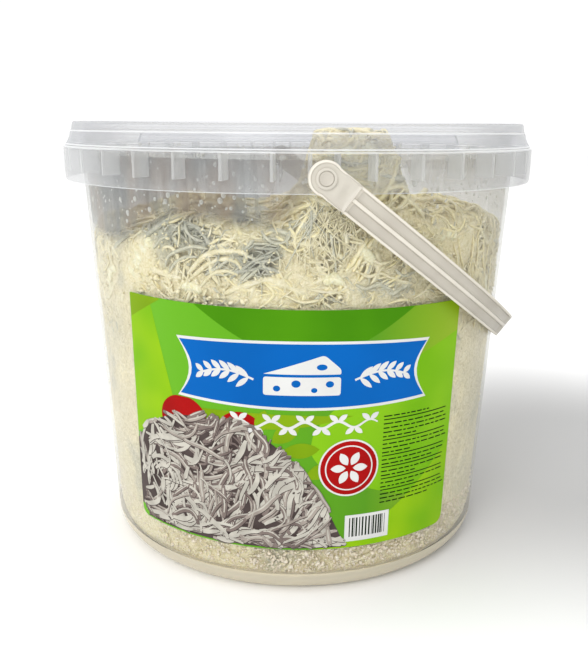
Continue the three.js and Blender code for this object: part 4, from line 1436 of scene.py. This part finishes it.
def picture(red, olive, mauve_dark, mauve, grey, pale):
    """Red rounds and leaves behind, a dark ground, then the shreds."""
    red.area([(x, min(y, 90)) for x, y in oval(-49, 80, 12, 10.5)], 4)
    red.area([(x, min(y, 88)) for x, y in oval(-22, 78, 10, 9)], 5)
    leaves = ((-8, 74, 15, 8, 40), (-4, 70, 16, 7, 5), (6, 58, 15, 7, 25), (-14, 78, 11, 6, 75))
    for i, place in enumerate(leaves):
        olive.area(leaf(*place), 5 + i * 0.5)
    edge, low = LABEL_HALF - 0.15, LABEL_BOTTOM + 0.8
    corner = -edge + LABEL_CORNER
    mauve_dark.band(corner, 23, lambda x: low, lambda x: max(low + 0.2, picture_top(x) - 4), 8)
    mauve_dark.band(-edge, corner, lambda x: low + LABEL_CORNER, lambda x: picture_top(x) - 4, 8)
    picture_ribbons(pale, grey, mauve, mauve_dark)


def plate(white, blue):
    """The blue plate with a plain wedge between two sprigs."""
    white.area(plaque(5, 104, 56, 13.4, 6), 5)
    blue.area(plaque(5, 104, 54.6, 12.2, 6), 6)
    white.area(rounded([(-12, 95.6), (20, 95.6), (20, 103.6), (-12, 103.6)], 1.2), 7)
    white.area(rounded([(-12, 104.8), (20, 104.8), (20, 107), (13, 113.2)], [0.6, 0.6, 1.2, 1.6]), 7)
    holes = ((-6.4, 98.6, 1.5, 1.3), (1.5, 100.8, 1.9, 1.6), (9, 98, 1.3, 1.1), (15.4, 100.6, 1.7, 1.4),
             (12, 108, 2.2, 1.3))
    for hole in holes:
        blue.area(oval(*hole, steps=20), 8)
    sprig(white, 26, 102, 1, 6, 7.5, 7)
    sprig(white, -16, 102, -1, 6, 7.5, 7)


def badge(white, red, cx, cy):
    """A round red badge with a plain flower of six petals."""
    for radius, used, layer in ((13.4, white, 10), (12.6, red, 11), (10.6, white, 12), (10.0, red, 13)):
        used.area(oval(cx, cy, radius, radius), layer)
    for angle in range(0, 360, 60):
        a = math.radians(angle)
        white.area(leaf(cx + 1.6 * math.cos(a), cy + 1.6 * math.sin(a), 6.6, 3.6, angle), 14)


# Each ink's name, its lower and its higher tone, and how many millimetres its drift of tone takes.
INKS = [
    ("green_light", "6AA60E", "7CB218", 30), ("green_lime", "70A80C", "88B410", 24),
    ("green_deep", "3F7E04", "488806", 30), ("green_olive", "6E900A", "7A9C10", 24),
    ("picture_dark", "3E3432", "4E4442", 9), ("picture_mauve", "6C605C", "7D716B", 6),
    ("picture_grey", "90877F", "A1988F", 6), ("picture_pale", "AAA69C", "BFBBB0", 6),
    ("blue", "0056A2", "005CAC", 40), ("red", "900606", "9E0A0A", 20), ("white", "CACAC8", "D2D2D0", 20),
    ("small_print", "081A04", "0C2008", 20)]


def printed():
    """All figures of the label."""
    inks = [Print(*words) for words in INKS]
    light, lime, deep, olive, mauve_dark, mauve, grey, pale, blue, red, white, dark = inks
    ground_bands(light, lime, deep, olive)
    picture(red, olive, mauve_dark, mauve, grey, pale)
    plate(white, blue)
    vine(white, -26, 37, 82.4, 9)
    badge(white, red, 25, 62)
    small_print(dark, 6)
    bar_block(white, dark, 6)
    for used in inks:
        used.finish()


film = piece("label_film", label_film(), field_ink())
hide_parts("label")
printed()


# ---- Stage, light and camera ----
# the floor's shadow at the right is painted into its colour, round this spot
PAINTED_SHADOW_AT = (0.19, 0.04, 0)   # the middle of the floor's shaded side


def board(name, half, material, colour, place=Matrix()):
    """A flat studio board in matt paper."""
    shape = bmesh.new()
    bmesh.ops.create_grid(shape, x_segments=1, y_segments=1, size=half)
    bmesh.ops.transform(shape, matrix=place, verts=shape.verts)
    mesh = bpy.data.meshes.new(name)
    shape.to_mesh(mesh)
    shape.free()
    paper, tree = new_material(material)
    show(tree, surface(tree, colour(tree), 0.9))
    mesh.materials.append(paper)
    thing = bpy.data.objects.new(name, mesh)
    bpy.context.scene.collection.objects.link(thing)
    return thing


def floor_with_painted_shadow(tree):
    """White, with a painted shadow: greyer round a spot to the right of the pail."""
    away = add(tree, "ShaderNodeVectorMath", {0: spot(tree), 1: PAINTED_SHADOW_AT}, operation="DISTANCE")
    share = remap(tree, away.outputs["Value"], 0, 1, 0.06, 0.27, interpolation_type="SMOOTHSTEP")
    return ramp(tree, share, (0.0, "B0B0B0"), (1.0, "FCFCFC"))


def lamp(name, place, size, power):
    """A round soft lamp that is turned to the middle of the pail."""
    light = bpy.data.lights.new(name, "AREA")
    light.shape = "DISK"
    light.size = size
    light.energy = power
    thing = bpy.data.objects.new(name, light)
    thing.location = place
    thing.rotation_euler = (Vector((0, 0, 0.1)) - Vector(place)).to_track_quat("-Z", "Y").to_euler()
    bpy.context.scene.collection.objects.link(thing)


board("studio_floor", 6, "studio_paper_painted_shadow", floor_with_painted_shadow)
# a grey card beside the object, out of the camera's sight, that lets its right side fall into light shade
flag_place = Matrix.Translation((0.6, 0, -0.25)) @ Matrix.Rotation(math.radians(90), 4, "Y")
flag = board("studio_flag", 0.5, "studio_grey_card", lambda tree: srgb("B4B4B2"), flag_place)
flag.visible_camera = False
lamp("key", (-0.8, -1.4, 1.2), 0.8, 13)
lamp("top", (0.3, 0.5, 1.9), 1.2, 9)

world = bpy.data.worlds.new("studio")
world.use_nodes = True
world.node_tree.nodes["Background"].inputs["Color"].default_value = srgb("FFFFFF")
world.node_tree.nodes["Background"].inputs["Strength"].default_value = 1.05
scene = bpy.context.scene
scene.world = world
scene.view_settings.view_transform = "Standard"
scene.cycles.transparent_max_bounces = 32

camera = bpy.data.cameras.new("camera")
camera.lens, camera.sensor_width, camera.sensor_fit = 47.27, 36, "HORIZONTAL"
camera.clip_start = 0.01
eye = bpy.data.objects.new("camera", camera)
turn = [Matrix.Rotation(math.radians(a), 4, axis) for a, axis in ((-5.05, "Z"), (75.07, "X"), (0.4, "Z"))]
eye.matrix_world = Matrix.Translation((-0.0362, -0.3977, 0.2019)) @ turn[0] @ turn[1] @ turn[2]
scene.collection.objects.link(eye)
scene.camera = eye
